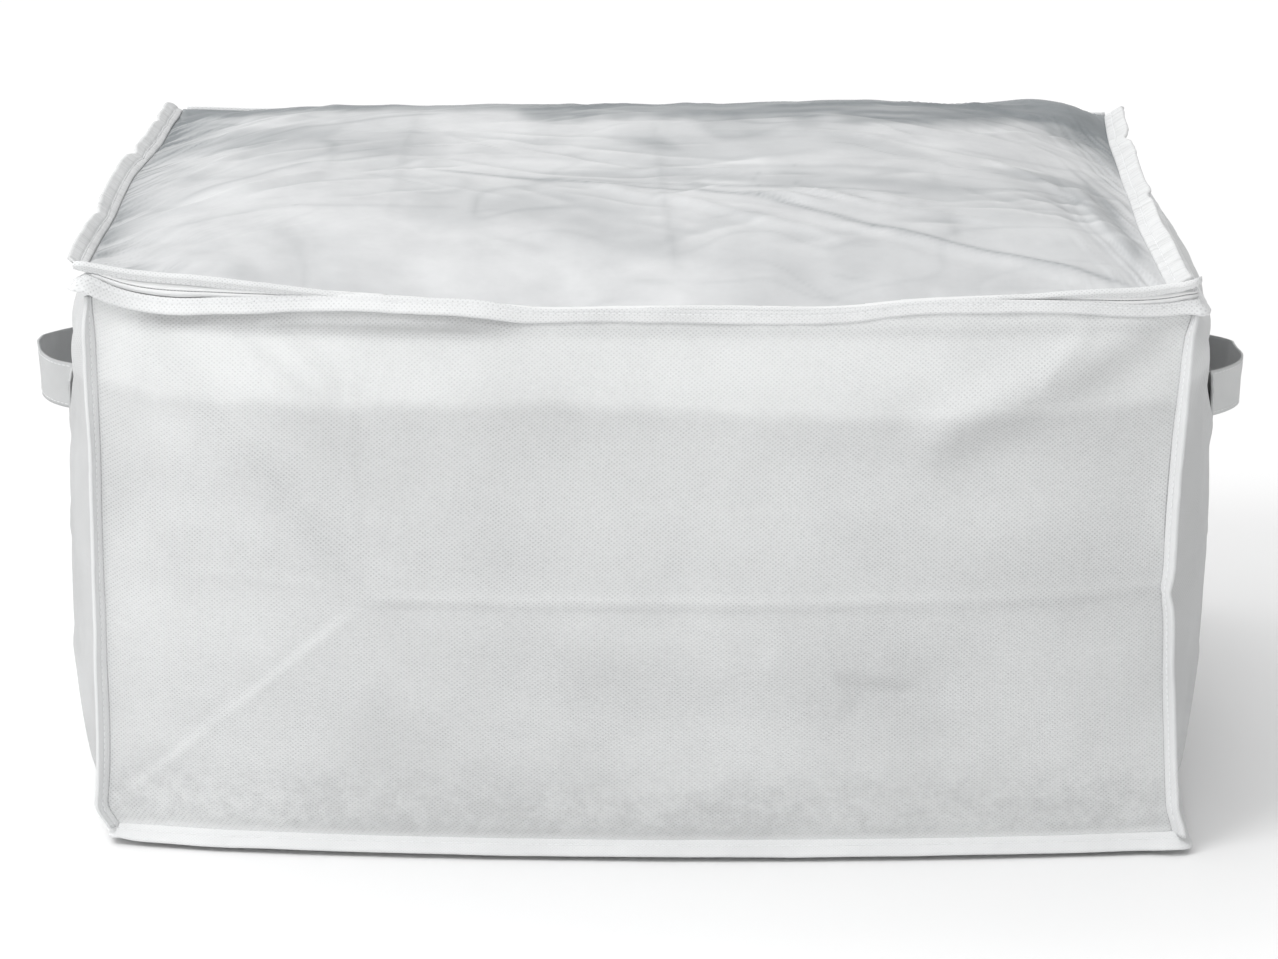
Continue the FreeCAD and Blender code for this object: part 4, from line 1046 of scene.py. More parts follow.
def zip_path(y_end):
    """Middle line of the closed zip from left end to right end, and its outward rows."""
    turn, stand = 4.0, 0.8      # corner radius; how far the line stands off the box
    corner_x, corner_y = HALF_X - turn, -HALF_Y + turn
    y = np.linspace(y_end, corner_y, 330)
    left = points(-HALF_X - stand, y, zip_side_z(-1, y))
    y = y[::-1]
    right = points(HALF_X + stand - 0.45 * step(y, -214, -194), y, zip_side_z(1, y))
    x = np.linspace(-corner_x, corner_x, 420)
    z = 0.5 * (rim_front(x)[:, 2] + lid_front(x)[:, 2])
    left_z, right_z = left[-1, 2], right[0, 2]
    z = (z + (left_z - z[0]) * fall(x, -HALF_X, -HALF_X + 30)
         + (right_z - z[-1]) * step(x, HALF_X - 30, HALF_X))
    y = -(HALF_Y + bow(x) + 0.9) + 4.2 * tucked(x)
    meet = -(HALF_Y + stand)
    y = y + (meet - y[0]) * fall(x, -HALF_X, -HALF_X + 10)
    y = y + (meet - y[-1]) * step(x, HALF_X - 10, HALF_X)
    angle = np.linspace(0, math.pi / 2, 10)[1:-1]
    c, s = (turn + stand) * np.cos(angle), (turn + stand) * np.sin(angle)
    path = np.concatenate([left, points(-corner_x - c, corner_y - s, left_z), points(x, y, z),
                           points(corner_x + s, corner_y - c, right_z), right])
    across = unit(np.cross(UP, unit(np.gradient(path, axis=0))))
    facing = (path * across)[:, :2].sum(1, keepdims=True) > 0
    return path, across * np.where(facing, 1.0, -1.0)


def even_rows(path, rows, pitch):
    i, t, at = walk(path, pitch)
    return blend_rows(path, i, t), unit(blend_rows(rows, i, t)), at


def slider_run(p):
    """1 along the stretch of the zip that the slider travels."""
    return step(p[:, 1], -214, -194) * (p[:, 0] > 200)


def coil(name, path, out, side):
    """Flattened nylon spiral; side is +1 for the half above the middle line."""
    half_depth, half_height, wire, pitch, per_turn = 0.72, 0.92, 0.26, 1.7, 9
    p, out, s = even_rows(path, out, pitch / per_turn)
    angle = s / pitch * 2 * np.pi * side
    c, s = np.cos(angle)[:, None], np.sin(angle)[:, None]
    run = slider_run(p)[:, None]
    centre = p + UP * (side * (1.02 + 0.32 * run))
    line = centre + out * (half_depth * c) + UP * ((half_height - 0.12 * run) * s)
    tangent = unit(np.gradient(line, axis=0))
    e1 = unit(out * c + UP * s)
    e1 = unit(e1 - (e1 * tangent).sum(-1, keepdims=True) * tangent)
    e2 = np.cross(tangent, e1)
    k = (np.arange(5) * 2 * np.pi / 5)[None, :, None]
    return sweep(name, line[:, None, :] + wire * (np.cos(k) * e1[:, None, :]
                                                  + np.sin(k) * e2[:, None, :]))


def nearest_rows(path, targets):
    """For each path point, the closest target point in plan."""
    out = np.empty_like(path)
    for k in range(0, len(path), 200):
        d = ((path[k:k + 200, None, :2] - targets[None, :, :2]) ** 2).sum(-1)
        out[k:k + 200] = targets[d.argmin(1)]
    return out


# Section of the tape from the middle line to the seam: share of the height and lift outward;
# then height and lift along the slider's run, where a height of 0 is worked out.
TAPE_SECTION = (
    (0.0, 0.80, 0.0, 0.85), (0.05, 1.02, 0.25, 1.05), (0.14, 1.18, 0.7, 1.12),
    (0.26, 1.20, 1.2, 1.12), (0.40, 1.12, 1.65, 1.0), (0.54, 0.90, 2.0, -0.25),
    (0.68, 0.70, 2.75, -0.28), (0.84, 0.45, 0.0, 0.0), (1.0, 0.05, 0.0, 0.05))


def tape(name, path, out, side, seam, thick=0.42):
    """Woven ribbon from the seam to the middle line, over the front of the coil."""
    p, out, s = even_rows(path, out, 2.2)
    target = nearest_rows(p, seam)
    run = slider_run(p)
    near_z = p[:, 2] + side * (0.14 + 0.12 * run)
    high = np.maximum(side * (target[:, 2] - side * 0.6 - near_z), 2.6)
    rows = []
    for share, lift, run_height, run_lift in TAPE_SECTION:
        if share > 0.9:
            run_height = high
        elif share > 0.8:
            run_height = np.maximum(0.5 * (2.9 + high), 2.95)
        row = p.copy()
        row[:, 2] = near_z + side * (high * share * (1 - run) + run_height * run)
        far = (step(share, 0.4, 1.0) * (1 - run) + step(share, 0.70, 1.0) * run)[:, None]
        row[:, :2] = row[:, :2] * (1 - far) + (target[:, :2] + 0.25 * out[:, :2]) * far
        ripple = 0.10 * noise(s / 6.0, share * 2.0, 221 + side) * (1 - 0.6 * run)
        rows.append(row + out * (lift * (1 - run) + run_lift * run + ripple)[:, None])
    rows = np.stack(rows, 1)
    ring = np.concatenate([rows, rows[:, ::-1] - out[:, None, :] * thick], 1)
    return sweep(name, ring[:, ::-1] if side < 0 else ring)


coil_low_obj = coil("visual_zip_coil_lower", *zip_path(217.0), -1)
coil_up_obj = coil("visual_zip_coil_upper", *zip_path(200.0), 1)
rim_seam = np.concatenate([
    rim_side(-1, np.linspace(221.0, -HALF_Y, 179)),
    rim_front(np.linspace(-HALF_X, HALF_X, 221)),
    rim_side(1, np.linspace(221.0, -HALF_Y, 179)[::-1])])
lid_seam = np.concatenate([lid_left_pts[::-1], lid_front_pts, lid_right_pts])
tape_low_obj = tape("visual_zip_tape_lower", *zip_path(221.0), -1, rim_seam)
tape_up_obj = tape("visual_zip_tape_upper", *zip_path(218.0), 1, lid_seam)

# -------------------------------------------------------------------- handles
WEB_WIDTH, WEB_ACROSS = 25.0, 15        # width of the webbing and points across it
HANDLE_Z, REAR_SAG = 200.5, 6.5         # height of the front end; how much lower the rear one is
HANDLE_FRONT, HANDLE_REAR = -60.0, 66.0     # y where the loop leaves the wall


def ribbon(line, lateral, thick, curl, seed):
    """Flat band swept along line; lateral is its width direction.  Gives rings and outward."""
    out = unit(np.cross(unit(np.gradient(line, axis=0)), lateral))
    w = np.linspace(-0.5, 0.5, WEB_ACROSS)
    bulge = curl * (w[None, :] ** 2) * 4 + 0.22 * noise(arc(line)[:, None] / 11.0,
                                                        w[None, :] * 3.0, seed)
    edge_roll = 0.22 * bell(np.abs(w), 0.43, 0.05)[None, :]
    middle = line[:, None, :] + lateral[:, None, :] * (w * WEB_WIDTH)[None, :, None]
    outer, inner_face = (
        middle + out[:, None, :] * (bulge + face * (thick / 2 - edge_roll))[..., None]
        for face in (1, -1))
    return np.concatenate([outer, inner_face[:, ::-1]], 1), out


def wall_probe(grid, sign):
    """Gives a function for the wall's distance from x = 0 at y and a list of heights."""
    tree = BVHTree.FromPolygons(
        [Vector(v) for v in grid.reshape(-1, 3)],
        [tuple(int(k) for k in f) for f in grid_quads(*grid.shape[:2])])

    def probe(y, heights):
        hits = [tree.ray_cast(Vector((sign * 420.0, y, z)), Vector((-sign, 0, 0)))[0]
                for z in heights]
        return [295.0 if hit is None else abs(hit.x) for hit in hits]
    return probe


def handle_loop(sign, tag, root_front, root_rear, apex, outer_painted_light):
    """The free loop and the stitching along both its edges."""
    t = np.linspace(-1, 1, 121)
    a = np.abs(t)
    middle, half = 0.5 * (HANDLE_FRONT + HANDLE_REAR), 0.5 * (HANDLE_REAR - HANDLE_FRONT)
    y = middle + half * t * (1 + 0.10 * (1 - t * t))
    root = root_front + (root_rear - root_front) * step(t, -1, 1)
    x = root + (apex - root) * (1 - a ** 3.1) ** 0.80
    x = np.minimum(x + 1.6 * noise(t * 2.2, 0.7, 231 + sign) * (1 - a ** 6), 331.5)
    z = HANDLE_Z - REAR_SAG * step(y, -10, HANDLE_REAR) + (1 - a ** 2) * noise(t * 1.5, 3.0, 232)
    line = points(sign * x, y, z)
    tilt = math.radians(3.0) * (1 - a ** 2)
    lateral = unit(points(sign * np.sin(tilt), 0.0, np.cos(tilt)))
    if sign < 0:
        line, lateral = line[::-1], lateral[::-1]
    rings, out = ribbon(line, lateral, thick=1.25, curl=0.25, seed=241 if sign < 0 else 242)
    # painted light on the outer face, dark painted shade on the inner face
    tones = np.repeat([outer_painted_light, 0.10], WEB_ACROSS)
    loop = sweep("visual_handle_%s_loop" % tag, rings, tone=np.tile(tones, (len(rings), 1)))
    edges = [(rings[3:-3, k] + out[3:-3] * 0.10, out[3:-3]) for k in (1, WEB_ACROSS - 2)]
    return loop, stitch_lines("visual_handle_%s_edge_stitching" % tag, edges,
                              spacing=3.2, length=2.3, radius=0.20)


def sewn_end(sign, end, probe):
    """One end lying on the wall (end -1 front, +1 rear): its rings and box-and-cross lines."""
    y_root, z = (HANDLE_FRONT, HANDLE_Z) if end < 0 else (HANDLE_REAR, HANDLE_Z - REAR_SAG)
    y = np.linspace(y_root - 2.0 * end, y_root + 37.0 * end, 27)
    skin = np.array([max(probe(at, [z + dz for dz in (-9.0, -3.0, 3.0, 9.0)])) for at in y])
    x = np.maximum(smooth_run(skin, 3), skin) + 1.15
    line = points(sign * x, y, z)
    rings, _ = ribbon(line if end * sign > 0 else line[::-1],
                      np.broadcast_to(UP, line.shape), thick=1.2, curl=0.0, seed=243 + end)
    y_near, y_far, low, high = y_root + 4.0 * end, y_root + 33.5 * end, z - 9.8, z + 9.8
    a, b, c, d = (y_near, low), (y_far, low), (y_far, high), (y_near, high)
    rows = []
    for (y0, z0), (y1, z1) in ((a, b), (b, c), (c, d), (d, a), (a, c), (d, b)):
        stitch_y = np.linspace(y0, y1, 30)
        stitch_x = np.interp(stitch_y * end, y * end, x) + 0.72
        row = points(sign * stitch_x, stitch_y, np.linspace(z0, z1, 30))
        rows.append((row, np.broadcast_to([float(sign), 0, 0], row.shape)))
    return rings, rows


def handle(sign, tag, wall, apex, outer_painted_light):
    probe = wall_probe(wall, sign)
    heights = [HANDLE_Z + dz for dz in (-15.0, -9.0, -3.0, 3.0, 9.0, 13.0)]
    roots = [min(probe(y, heights)) - 1.6 for y in (HANDLE_FRONT, HANDLE_REAR)]
    loop, edge_stitching = handle_loop(sign, tag, *roots, apex, outer_painted_light)
    parts = [sewn_end(sign, end, probe) for end in (-1, 1)]
    ends = [sweep("visual_handle_%s_end_%s" % (tag, letter), rings,
                  tone=np.full(rings.shape[:2], 0.62))
            for letter, (rings, _) in zip("ab", parts)]
    stitching = stitch_lines("visual_handle_%s_stitching" % tag, parts[0][1] + parts[1][1],
                             spacing=3.0, length=2.3, radius=0.26)
    # two places near the loop's root, in metres; the loop given them is only baked in place
    root = min(roots)
    bend = ("bag", tag + "_handle", (sign * (root - 1.0) * 0.001, 0, 0.196),
            (sign * (root + 17.0) * 0.001, 0, 0.196))
    return tag, bend, loop, edge_stitching, ends, stitching


# the left loop's outer face is given less painted light than the right one's
handles = [handle(-1, "left", left_grid, apex=330.6, outer_painted_light=0.46),
           handle(1, "right", right_grid, apex=325.5, outer_painted_light=0.90)]


# --------------------------------------------------------------------- thread
def seam_rows(frames, at, depth, sides=(1, -1), trim=3):
    """Stitch lines at a distance from the root, depth off the middle of the strip."""
    rows = []
    for f in frames:
        keep = slice(trim, len(f["root"]) - trim)
        for side in sides:
            line = (f["root"] + f["a_dir"] * (at * f["length"])[:, None]
                    + f["b_dir"] * (side * depth))
            rows.append((line[keep], (f["b_dir"] * side)[keep]))
    return rows


def zip_end_tacks():
    """Three bars of thread across each end of the zip."""
    z = np.linspace(292.2, 299.6, 12)
    rows = [(points(sign * (HALF_X + 1.3), 216.0 + dy, z),
             np.broadcast_to([float(sign), 0, 0], (len(z), 3)))
            for sign in (-1, 1) for dy in (0.0, 0.8, 1.6)]
    return stitch_lines("visual_zip_end_tacks", rows, spacing=1.1, length=1.6, radius=0.34)


PROUD = 0.12        # how far the thread's middle stands above the dip it lies in
rim_stitching = stitch_lines("visual_rim_stitching",
                             seam_rows([rim_frame], 3.8, 0.90 + PROUD))
base_stitching = stitch_lines("visual_bottom_stitching",
                              seam_rows([base_frame], 3.2, 0.85 + PROUD, trim=0))
corner_stitching = stitch_lines("visual_corner_stitching",
                                seam_rows(corner_frames, 4.0, 0.85 + PROUD))
rear_stitching = stitch_lines("visual_rear_stitching",
                              seam_rows([rear_frame], 7.2, 0.60 + PROUD, sides=(1,)))
lid_stitching = stitch_lines("visual_lid_stitching",
                             seam_rows([lid_left_frame, lid_right_frame], 3.3, 0.80 + PROUD)
                             + seam_rows([lid_front_frame], 3.0, 1.10 + PROUD, trim=5))
tack_obj = zip_end_tacks()


# ------------------------------------------------------------------ materials
class Tree:
    """Small helper to wire node materials; t.bsdf is the shader."""

    def __init__(self, name):
        self.mat = bpy.data.materials.new(name)
        self.mat.use_nodes = True
        self.nt = self.mat.node_tree
        self.nt.nodes.clear()
        out = self.new("OutputMaterial")
        self.bsdf = self.new("BsdfPrincipled")
        self.nt.links.new(self.bsdf.outputs[0], out.inputs[0])

    def new(self, kind, **settings):
        n = self.nt.nodes.new("ShaderNode" + kind)
        for key, value in settings.items():
            setattr(n, key, value)
        return n

    def fill(self, node, values):
        """Sets or links inputs, given by name or number."""
        for key, value in values.items():
            if isinstance(value, bpy.types.NodeSocket):
                self.nt.links.new(value, node.inputs[key])
            else:
                node.inputs[key].default_value = value
        return node

    def math(self, op, a, b=0.0):
        return self.fill(self.new("Math", operation=op), {0: a, 1: b, 2: 0.0}).outputs[0]

    def times(self, a, b):
        return self.math("MULTIPLY", a, b)

    def plus(self, a, b):
        return self.math("ADD", a, b)

    def mm(self):
        """The millimetre UV and its two parts."""
        uv = self.new("UVMap", uv_map="mm").outputs[0]
        split = self.fill(self.new("SeparateXYZ"), {0: uv})
        return uv, split.outputs[0], split.outputs[1]

    def place(self):
        """Object position in millimetres."""
        where = self.new("TexCoord").outputs["Object"]
        scaled = self.new("VectorMath", operation="SCALE")
        return self.fill(scaled, {0: where, "Scale": 1000.0}).outputs[0]

    def attribute(self, name):
        return self.new("Attribute", attribute_name=name).outputs["Fac"]

    def noise(self, vector, scale, detail=3.0, rough=0.55):
        return self.fill(self.new("TexNoise"), {"Vector": vector, "Scale": scale,
                                                "Detail": detail, "Roughness": rough}).outputs[0]

    def ramp(self, value, span, to=(0.0, 1.0)):
        return self.fill(self.new("MapRange"), {
            "Value": value, "From Min": span[0], "From Max": span[1],
            "To Min": to[0], "To Max": to[1]}).outputs[0]

    def mix(self, share, a, b):
        return self.fill(self.new("Mix", data_type="RGBA"), {0: share, 6: a, 7: b}).outputs[2]

    def bump(self, height, distance, strength, normal=None):
        """Bump by height; distance is in metres."""
        values = {"Strength": strength, "Distance": distance, "Height": height}
        if normal is not None:
            values["Normal"] = normal
        return self.fill(self.new("Bump"), values).outputs[0]

    def set(self, **values):
        self.fill(self.bsdf, {key.replace("_", " "): v for key, v in values.items()})
        return self.mat


def rgb(colour, factor=1.0):
    return (*[c * factor for c in colour], 1.0)


def bond_points(t, u, v, u_pitch, v_pitch):
    """Staggered bond points: 1 in the dimple, 0 between."""
    a = t.math("COSINE", t.times(u, 2 * math.pi / u_pitch))
    b = t.math("COSINE", t.times(v, 2 * math.pi / v_pitch))
    return t.ramp(t.times(a, b), (0.25, 0.85))


def nonwoven(name, light, shade, pitch, dip, rough, toned=False, gathered=False, patchy_shade_and_mottle=False):
    """Bonded cloth: pitch and dip (m) of its bond points; toned ones follow the tone attribute,
    which on the wall panels carries painted light and shade.
    """
    t = Tree(name)
    uv, u, v = t.mm()
    where = t.place()
    dimple = bond_points(t, u, v, pitch * 1.25, pitch)
    fibres = t.noise(uv, scale=1.7, detail=5.0, rough=0.7)
    tone = t.noise(where, scale=0.012, detail=4.0, rough=0.6)
    speck = t.noise(where, scale=0.22, rough=0.65)
    if toned:
        tone = t.plus(t.times(t.attribute("tone"), 0.34), t.times(tone, 0.30))
        tone = t.plus(tone, 0.19)
    if patchy_shade_and_mottle:
        # patches of painted shade in a zone near the base, and fine random mottling all over
        split = t.fill(t.new("SeparateXYZ"), {0: where})
        zone = t.times(t.ramp(split.outputs[2], (11.0, 17.0)),
                       t.ramp(split.outputs[2], (58.0, 32.0)))
        patch = t.ramp(t.noise(where, scale=0.085, detail=6.0, rough=0.78), (0.42, 0.64))
        tone = t.math("SUBTRACT", tone, t.times(t.times(zone, patch), 0.17))
        tone = t.plus(tone, t.ramp(t.noise(where, scale=0.30, detail=4.0, rough=0.8),
                                   (0.30, 0.70), to=(-0.035, 0.035)))
    base = t.mix(t.ramp(tone, (0.35, 0.68)), rgb(shade), rgb(light))
    # toned cloth turns to a deeper painted shade where its tone runs low
    if toned:
        base = t.mix(t.ramp(tone, (0.30, 0.06)), base, rgb(shade, 0.76))
    # the dimples are darker, more so where the cloth is in shade
    depth = t.ramp(tone, (0.28, 0.62), to=(1.0, 0.30)) if toned else 0.40
    amount = t.times(dimple, t.times(t.ramp(speck, (0.36, 0.64), to=(0.45, 1.0)), depth))
    base = t.mix(amount, base, rgb(shade, 0.70 if toned else 0.82))
    height = t.plus(t.times(dimple, -1.0), t.times(fibres, 0.7))
    normal = t.bump(height, distance=dip, strength=0.8)
    if gathered:
        # folds that run across the strip from the stitch line, with painted shade in their hollows
        stretched = t.new("CombineXYZ")
        t.fill(stretched, {0: t.times(u, 0.36), 1: t.times(v, 0.035)})
        folds = t.noise(stretched.outputs[0], scale=1.0, rough=0.6)
        base = t.mix(t.ramp(folds, (0.36, 0.50), to=(0.55, 0.0)), base, rgb(shade, 0.78))
        normal = t.bump(folds, distance=0.0016, strength=0.7, normal=normal)
    roughness = t.ramp(fibres, (0.3, 0.7), to=(rough - 0.06, rough + 0.06))
    return t.set(Base_Color=base, Roughness=roughness, Normal=normal,
                 Sheen_Weight=0.12, Sheen_Roughness=0.5, Specular_IOR_Level=0.32)


def woven(name, light, shade, pitch, dip, rough, toned=False):
    """Plain weave: pitch of the yarns and dip (m) between them; toned ones follow the tone
    attribute, which carries painted light and shade on the handles.
    """
    t = Tree(name)
    uv, u, v = t.mm()
    turns = 2 * math.pi / pitch
    warp = t.math("SINE", t.times(u, turns))
    weft = t.math("SINE", t.times(v, turns))
    weave = t.times(warp, weft)
    fuzz = t.noise(uv, scale=2.4, detail=4.0, rough=0.7)
    tone = t.noise(t.place(), scale=0.03, rough=0.6)
    if toned:
        tone = t.plus(t.times(t.attribute("tone"), 0.27), t.times(tone, 0.12))
        tone = t.plus(tone, 0.31)
    middle = [0.5 * (a + b) for a, b in zip(light, shade)]
    base = t.mix(t.ramp(tone, (0.35, 0.65)), rgb(shade), rgb(light))
    base = t.mix(t.ramp(weave, (-1.0, 0.2), to=(0.22, 0.0)), base, rgb(middle, 0.85))
    normal = t.bump(t.plus(weave, t.times(fuzz, 0.5)), distance=dip, strength=0.8)
    roughness = t.ramp(fuzz, (0.3, 0.7), to=(rough - 0.07, rough + 0.07))
    return t.set(Base_Color=base, Roughness=roughness, Normal=normal,
                 Sheen_Weight=0.10, Sheen_Roughness=0.45, Specular_IOR_Level=0.35)


def smooth_part(name, dark, light, tone, grain, grain_dip, grain_strength, rough, **finish):
    """Cloudy colour with fine grain; tone and grain are settings of their noises."""
    t = Tree(name)
    where = t.place()
    cloud = t.noise(where, **tone)
    base = t.mix(cloud, rgb(dark), rgb(light))
    normal = t.bump(t.noise(where, **grain), distance=grain_dip, strength=grain_strength)
    return t.set(Base_Color=base, Roughness=t.ramp(cloud, (0.3, 0.7), to=rough),
                 Normal=normal, **finish)


def film_material():
    t = Tree("soft clear film")
    where = t.place()
    veil = t.attribute("veil")
    cloud = t.noise(where, scale=0.018, detail=5.0, rough=0.62)
    fine = t.noise(where, scale=0.12, detail=4.0, rough=0.6)
    milk = t.mix(t.ramp(cloud, (0.32, 0.68)), rgb((0.560, 0.568, 0.576)),
                 rgb((0.690, 0.698, 0.704)))
    # the grey is painted shade: the shaded inside seen through the film and shade in folds and
    # along seams
    grey = t.mix(t.ramp(fine, (0.3, 0.7)), rgb((0.215, 0.24, 0.255)), rgb((0.315, 0.34, 0.355)))
    base = t.mix(veil, milk, grey)
    alpha = t.math("SUBTRACT", 0.93, t.times(veil, 0.26))
    normal = t.bump(t.noise(where, scale=0.06, detail=4.0, rough=0.6),
                    distance=0.0006, strength=0.25)
    normal = t.bump(t.noise(where, scale=0.5, rough=0.6),
                    distance=0.00006, strength=0.4, normal=normal)
    return t.set(Base_Color=base, Alpha=alpha, Normal=normal, Specular_IOR_Level=0.42, IOR=1.5,
                 Roughness=t.ramp(fine, (0.3, 0.7), to=(0.34, 0.48)))


cloth_mat = nonwoven("nonwoven cloth", light=(0.745, 0.755, 0.755), shade=(0.585, 0.592, 0.595),
                     pitch=2.15, dip=0.00022, rough=0.78, toned=True, patchy_shade_and_mottle=True)
binding_mat = nonwoven("binding strip", light=(0.87, 0.878, 0.88), shade=(0.66, 0.668, 0.672),
                       pitch=2.0, dip=0.00016, rough=0.70, toned=True)
FINE_STRIP = dict(pitch=1.5, dip=0.00010, rough=0.74)
gather_mat = nonwoven("gathered binding strip", light=(0.77, 0.778, 0.778),
                      shade=(0.69, 0.697, 0.70), gathered=True, **FINE_STRIP)
# a copy of the binding strip darkened with painted shade, for the corner seams
corner_mat = nonwoven("shaded corner binding strip", light=(0.735, 0.743, 0.746),
                      shade=(0.665, 0.672, 0.676), **FINE_STRIP)
base_mat = nonwoven("floor seam strip", light=(0.805, 0.813, 0.816),
                    shade=(0.735, 0.742, 0.746), **FINE_STRIP)
tape_mat = woven("zip tape", light=(0.90, 0.906, 0.906), shade=(0.84, 0.847, 0.85),
                 pitch=0.8, dip=0.00012, rough=0.66)
# the dark shade colour is painted shade, for the loops' inner faces
webbing_mat = woven("handle webbing", light=(0.74, 0.75, 0.748), shade=(0.30, 0.305, 0.31),
                    pitch=1.1, dip=0.00012, rough=0.68, toned=True)
coil_mat = smooth_part(
    "nylon coil", dark=(0.78, 0.79, 0.80), light=(0.88, 0.89, 0.90),
    tone=dict(scale=0.35, detail=2.0), grain=dict(scale=3.0, detail=2.0),
    grain_dip=0.00003, grain_strength=0.5, rough=(0.30, 0.42),
    Specular_IOR_Level=0.5, Coat_Weight=0.15)
thread_mat = smooth_part(
    "sewing thread", dark=(0.76, 0.77, 0.78), light=(0.88, 0.885, 0.89),
    tone=dict(scale=0.8), grain=dict(scale=6.0, detail=2.0),
    grain_dip=0.00005, grain_strength=0.7, rough=(0.50, 0.64), Sheen_Weight=0.15)
slider_mat = smooth_part(
    "painted zip slider", dark=(0.80, 0.81, 0.82), light=(0.88, 0.885, 0.89),
    tone=dict(scale=0.4), grain=dict(scale=1.6), grain_dip=0.00004, grain_strength=0.6,
    rough=(0.24, 0.36), Coat_Weight=0.35, Metallic=0.15, Specular_IOR_Level=0.6)
film_mat = film_material()


# ---------------------------------------------------------- riding and materials
def dress(ob, material, motion, node=None):
    """Gives an object its material; with a body's name it rides on that body, with a blend of two
    it is only baked in place.

    It replaces the frame's node of its own name unless another is named ("" for none)."""
    ob.data.materials.clear()
    ob.data.materials.append(material)
    node = ob.name.removeprefix("visual_") if node is None else node
    if node:
        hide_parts(node)
    if isinstance(motion, str):
        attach(ob, motion)
    else:
        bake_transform(ob)


# two places near the rear seam, in metres, for the film; the objects given them are only baked in
# place
LID_BEND = ("bag", "lid", (0, 0.2236, 0.3005), (0, 0.1985, 0.3005))
for material, slot, motion, objects in (
        (cloth_mat, "panel_cloth", "bag", (front_obj, back_obj, left_obj, right_obj, bottom_obj)),
        (base_mat, "binding_tape", "bag", (base_obj,)),
        (binding_mat, "binding_tape", "bag", (rim_obj, rear_obj)),
        (corner_mat, "binding_tape", "bag", corner_objs),
        (tape_mat, "zip_tape", "bag", (tape_low_obj,)),
        (coil_mat, "zip_coil", "bag", (coil_low_obj,)),
        (thread_mat, "thread", "bag", (tack_obj, rim_stitching, base_stitching,
                                       corner_stitching, rear_stitching)),
        (film_mat, "film", LID_BEND, (film_obj,)),
        (gather_mat, "binding_tape", LID_BEND, (lid_left_obj, lid_right_obj)),
        (thread_mat, "thread", LID_BEND, (lid_stitching,)),
        (binding_mat, "binding_tape", "lid", (lid_front_obj,)),
        (tape_mat, "zip_tape", LID_BEND, (tape_up_obj,)),
        (coil_mat, "zip_coil", LID_BEND, (coil_up_obj,))):
    for ob in objects:
        dress(ob, material, motion)
for tag, bend, loop, edge_stitching, ends, stitching in handles:
    dress(loop, webbing_mat, bend)
    dress(edge_stitching, thread_mat, bend, node="")
    dress(ends[0], webbing_mat, "bag", node="handle_%s_sewn_ends" % tag)
    dress(ends[1], webbing_mat, "bag", node="")
    dress(stitching, thread_mat, "bag")
for node in ("zip_slider", "zip_pull"):
    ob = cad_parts[node]
    ob.data.materials.clear()
    ob.data.materials.append(slider_mat)
    bevel = ob.modifiers.new("edge", "BEVEL")
    bevel.width, bevel.segments, bevel.limit_method = 0.00035, 3, "ANGLE"


# ---------------------------------------------------------------------- stage
def pale_floor():
    """Floor that turns from lit paint near the box to plain white far off."""
    mesh = bpy.data.meshes.new("floor")
    mesh.from_pydata([(-9, -9, 0), (9, -9, 0), (9, 9, 0), (-9, 9, 0)], [], [(0, 1, 2, 3)])
    ob = bpy.data.objects.new("floor", mesh)
    bpy.context.scene.collection.objects.link(ob)
    t = Tree("pale floor")
    distance = t.new("VectorMath", operation="LENGTH")
    t.fill(distance, {0: t.place()})
    far = t.ramp(distance.outputs["Value"], (560.0, 1700.0))
    base = t.mix(far, rgb((0.96, 0.96, 0.96)), rgb((0.02, 0.02, 0.02)))
    mesh.materials.append(t.set(
        Base_Color=base, Roughness=0.9, Specular_IOR_Level=0.1,
        Emission_Color=rgb((1.0, 1.0, 1.0)), Emission_Strength=far))


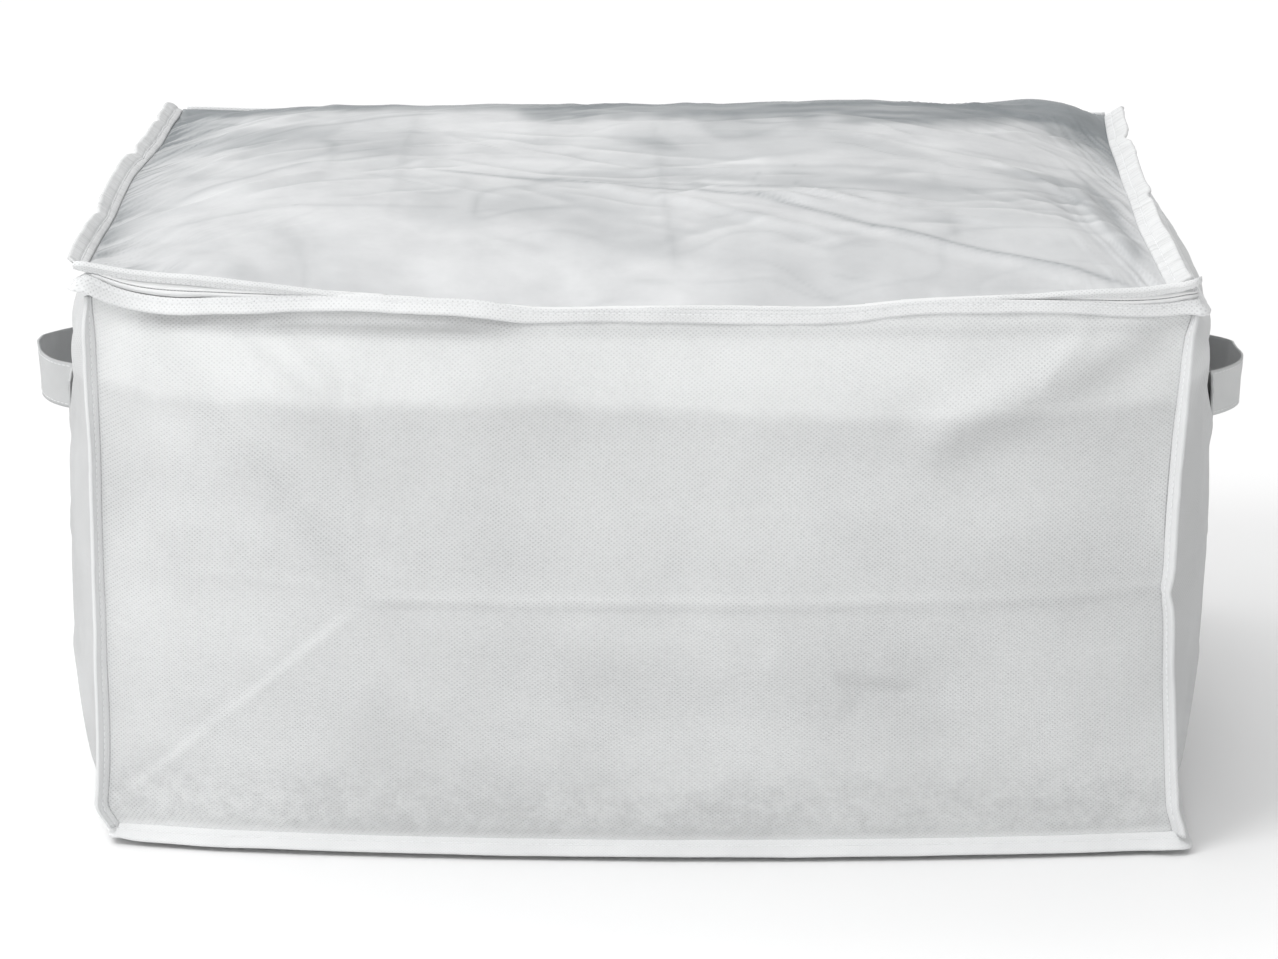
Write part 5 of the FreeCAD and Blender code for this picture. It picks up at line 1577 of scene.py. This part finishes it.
def soft_world():
    """White surroundings that light less from +x; the camera sees them even."""
    world = bpy.data.worlds.new("soft white")
    bpy.context.scene.world = world
    world.use_nodes = True
    nodes, links = world.node_tree.nodes, world.node_tree.links
    background = nodes["Background"]
    coord = nodes.new("ShaderNodeTexCoord")
    split = nodes.new("ShaderNodeSeparateXYZ")
    links.new(coord.outputs["Generated"], split.inputs[0])
    fade = nodes.new("ShaderNodeMapRange")
    links.new(split.outputs[0], fade.inputs["Value"])
    for key, value in (("From Min", 0.0), ("From Max", 0.9), ("To Min", 1.06), ("To Max", 0.27)):
        fade.inputs[key].default_value = value
    light_path = nodes.new("ShaderNodeLightPath")
    pick = nodes.new("ShaderNodeMix")
    links.new(light_path.outputs["Is Camera Ray"], pick.inputs[0])
    links.new(fade.outputs[0], pick.inputs[2])
    pick.inputs[3].default_value = 1.1
    links.new(pick.outputs[0], background.inputs[1])
    background.inputs[0].default_value = (1.0, 1.0, 1.0, 1.0)


def area_light(name, at, target, size, watts):
    """Area light aimed at target; lengths in metres."""
    data = bpy.data.lights.new(name, "AREA")
    data.shape, data.size, data.size_y, data.energy = "RECTANGLE", size[0], size[1], watts
    ob = bpy.data.objects.new(name, data)
    bpy.context.scene.collection.objects.link(ob)
    ob.location = at
    ob.rotation_euler = (Vector(target) - Vector(at)).to_track_quat("-Z", "Y").to_euler()


def place_camera():
    data = bpy.data.cameras.new("camera")
    cam = bpy.data.objects.new("camera", data)
    bpy.context.scene.collection.objects.link(cam)
    level = math.cos(CAMERA_PITCH)
    forward = Vector((math.sin(CAMERA_YAW) * level, math.cos(CAMERA_YAW) * level,
                      -math.sin(CAMERA_PITCH)))
    right = forward.cross(Vector((0, 0, 1))).normalized()
    up = right.cross(forward)
    c, s = math.cos(CAMERA_ROLL), math.sin(CAMERA_ROLL)
    matrix = Matrix((right * c + up * s, -right * s + up * c, -forward)).transposed().to_4x4()
    matrix.translation = Vector(CAMERA_AT)
    cam.matrix_world = matrix
    data.lens, data.sensor_width, data.clip_end = 125.1, 36.0, 50.0
    bpy.context.scene.camera = cam


pale_floor()
soft_world()
area_light("key", at=(-1.30, -1.36, 2.2), target=(0.0, 0.0, 0.2), size=(1.1, 0.9), watts=23)
area_light("top", at=(-0.4, 0.9, 2.4), target=(0.0, 0.0, 0.3), size=(1.4, 0.9), watts=7)
place_camera()
bpy.context.scene.view_settings.view_transform = "Standard"
bpy.context.scene.view_settings.look = "None"

bpy.context.view_layer.update()
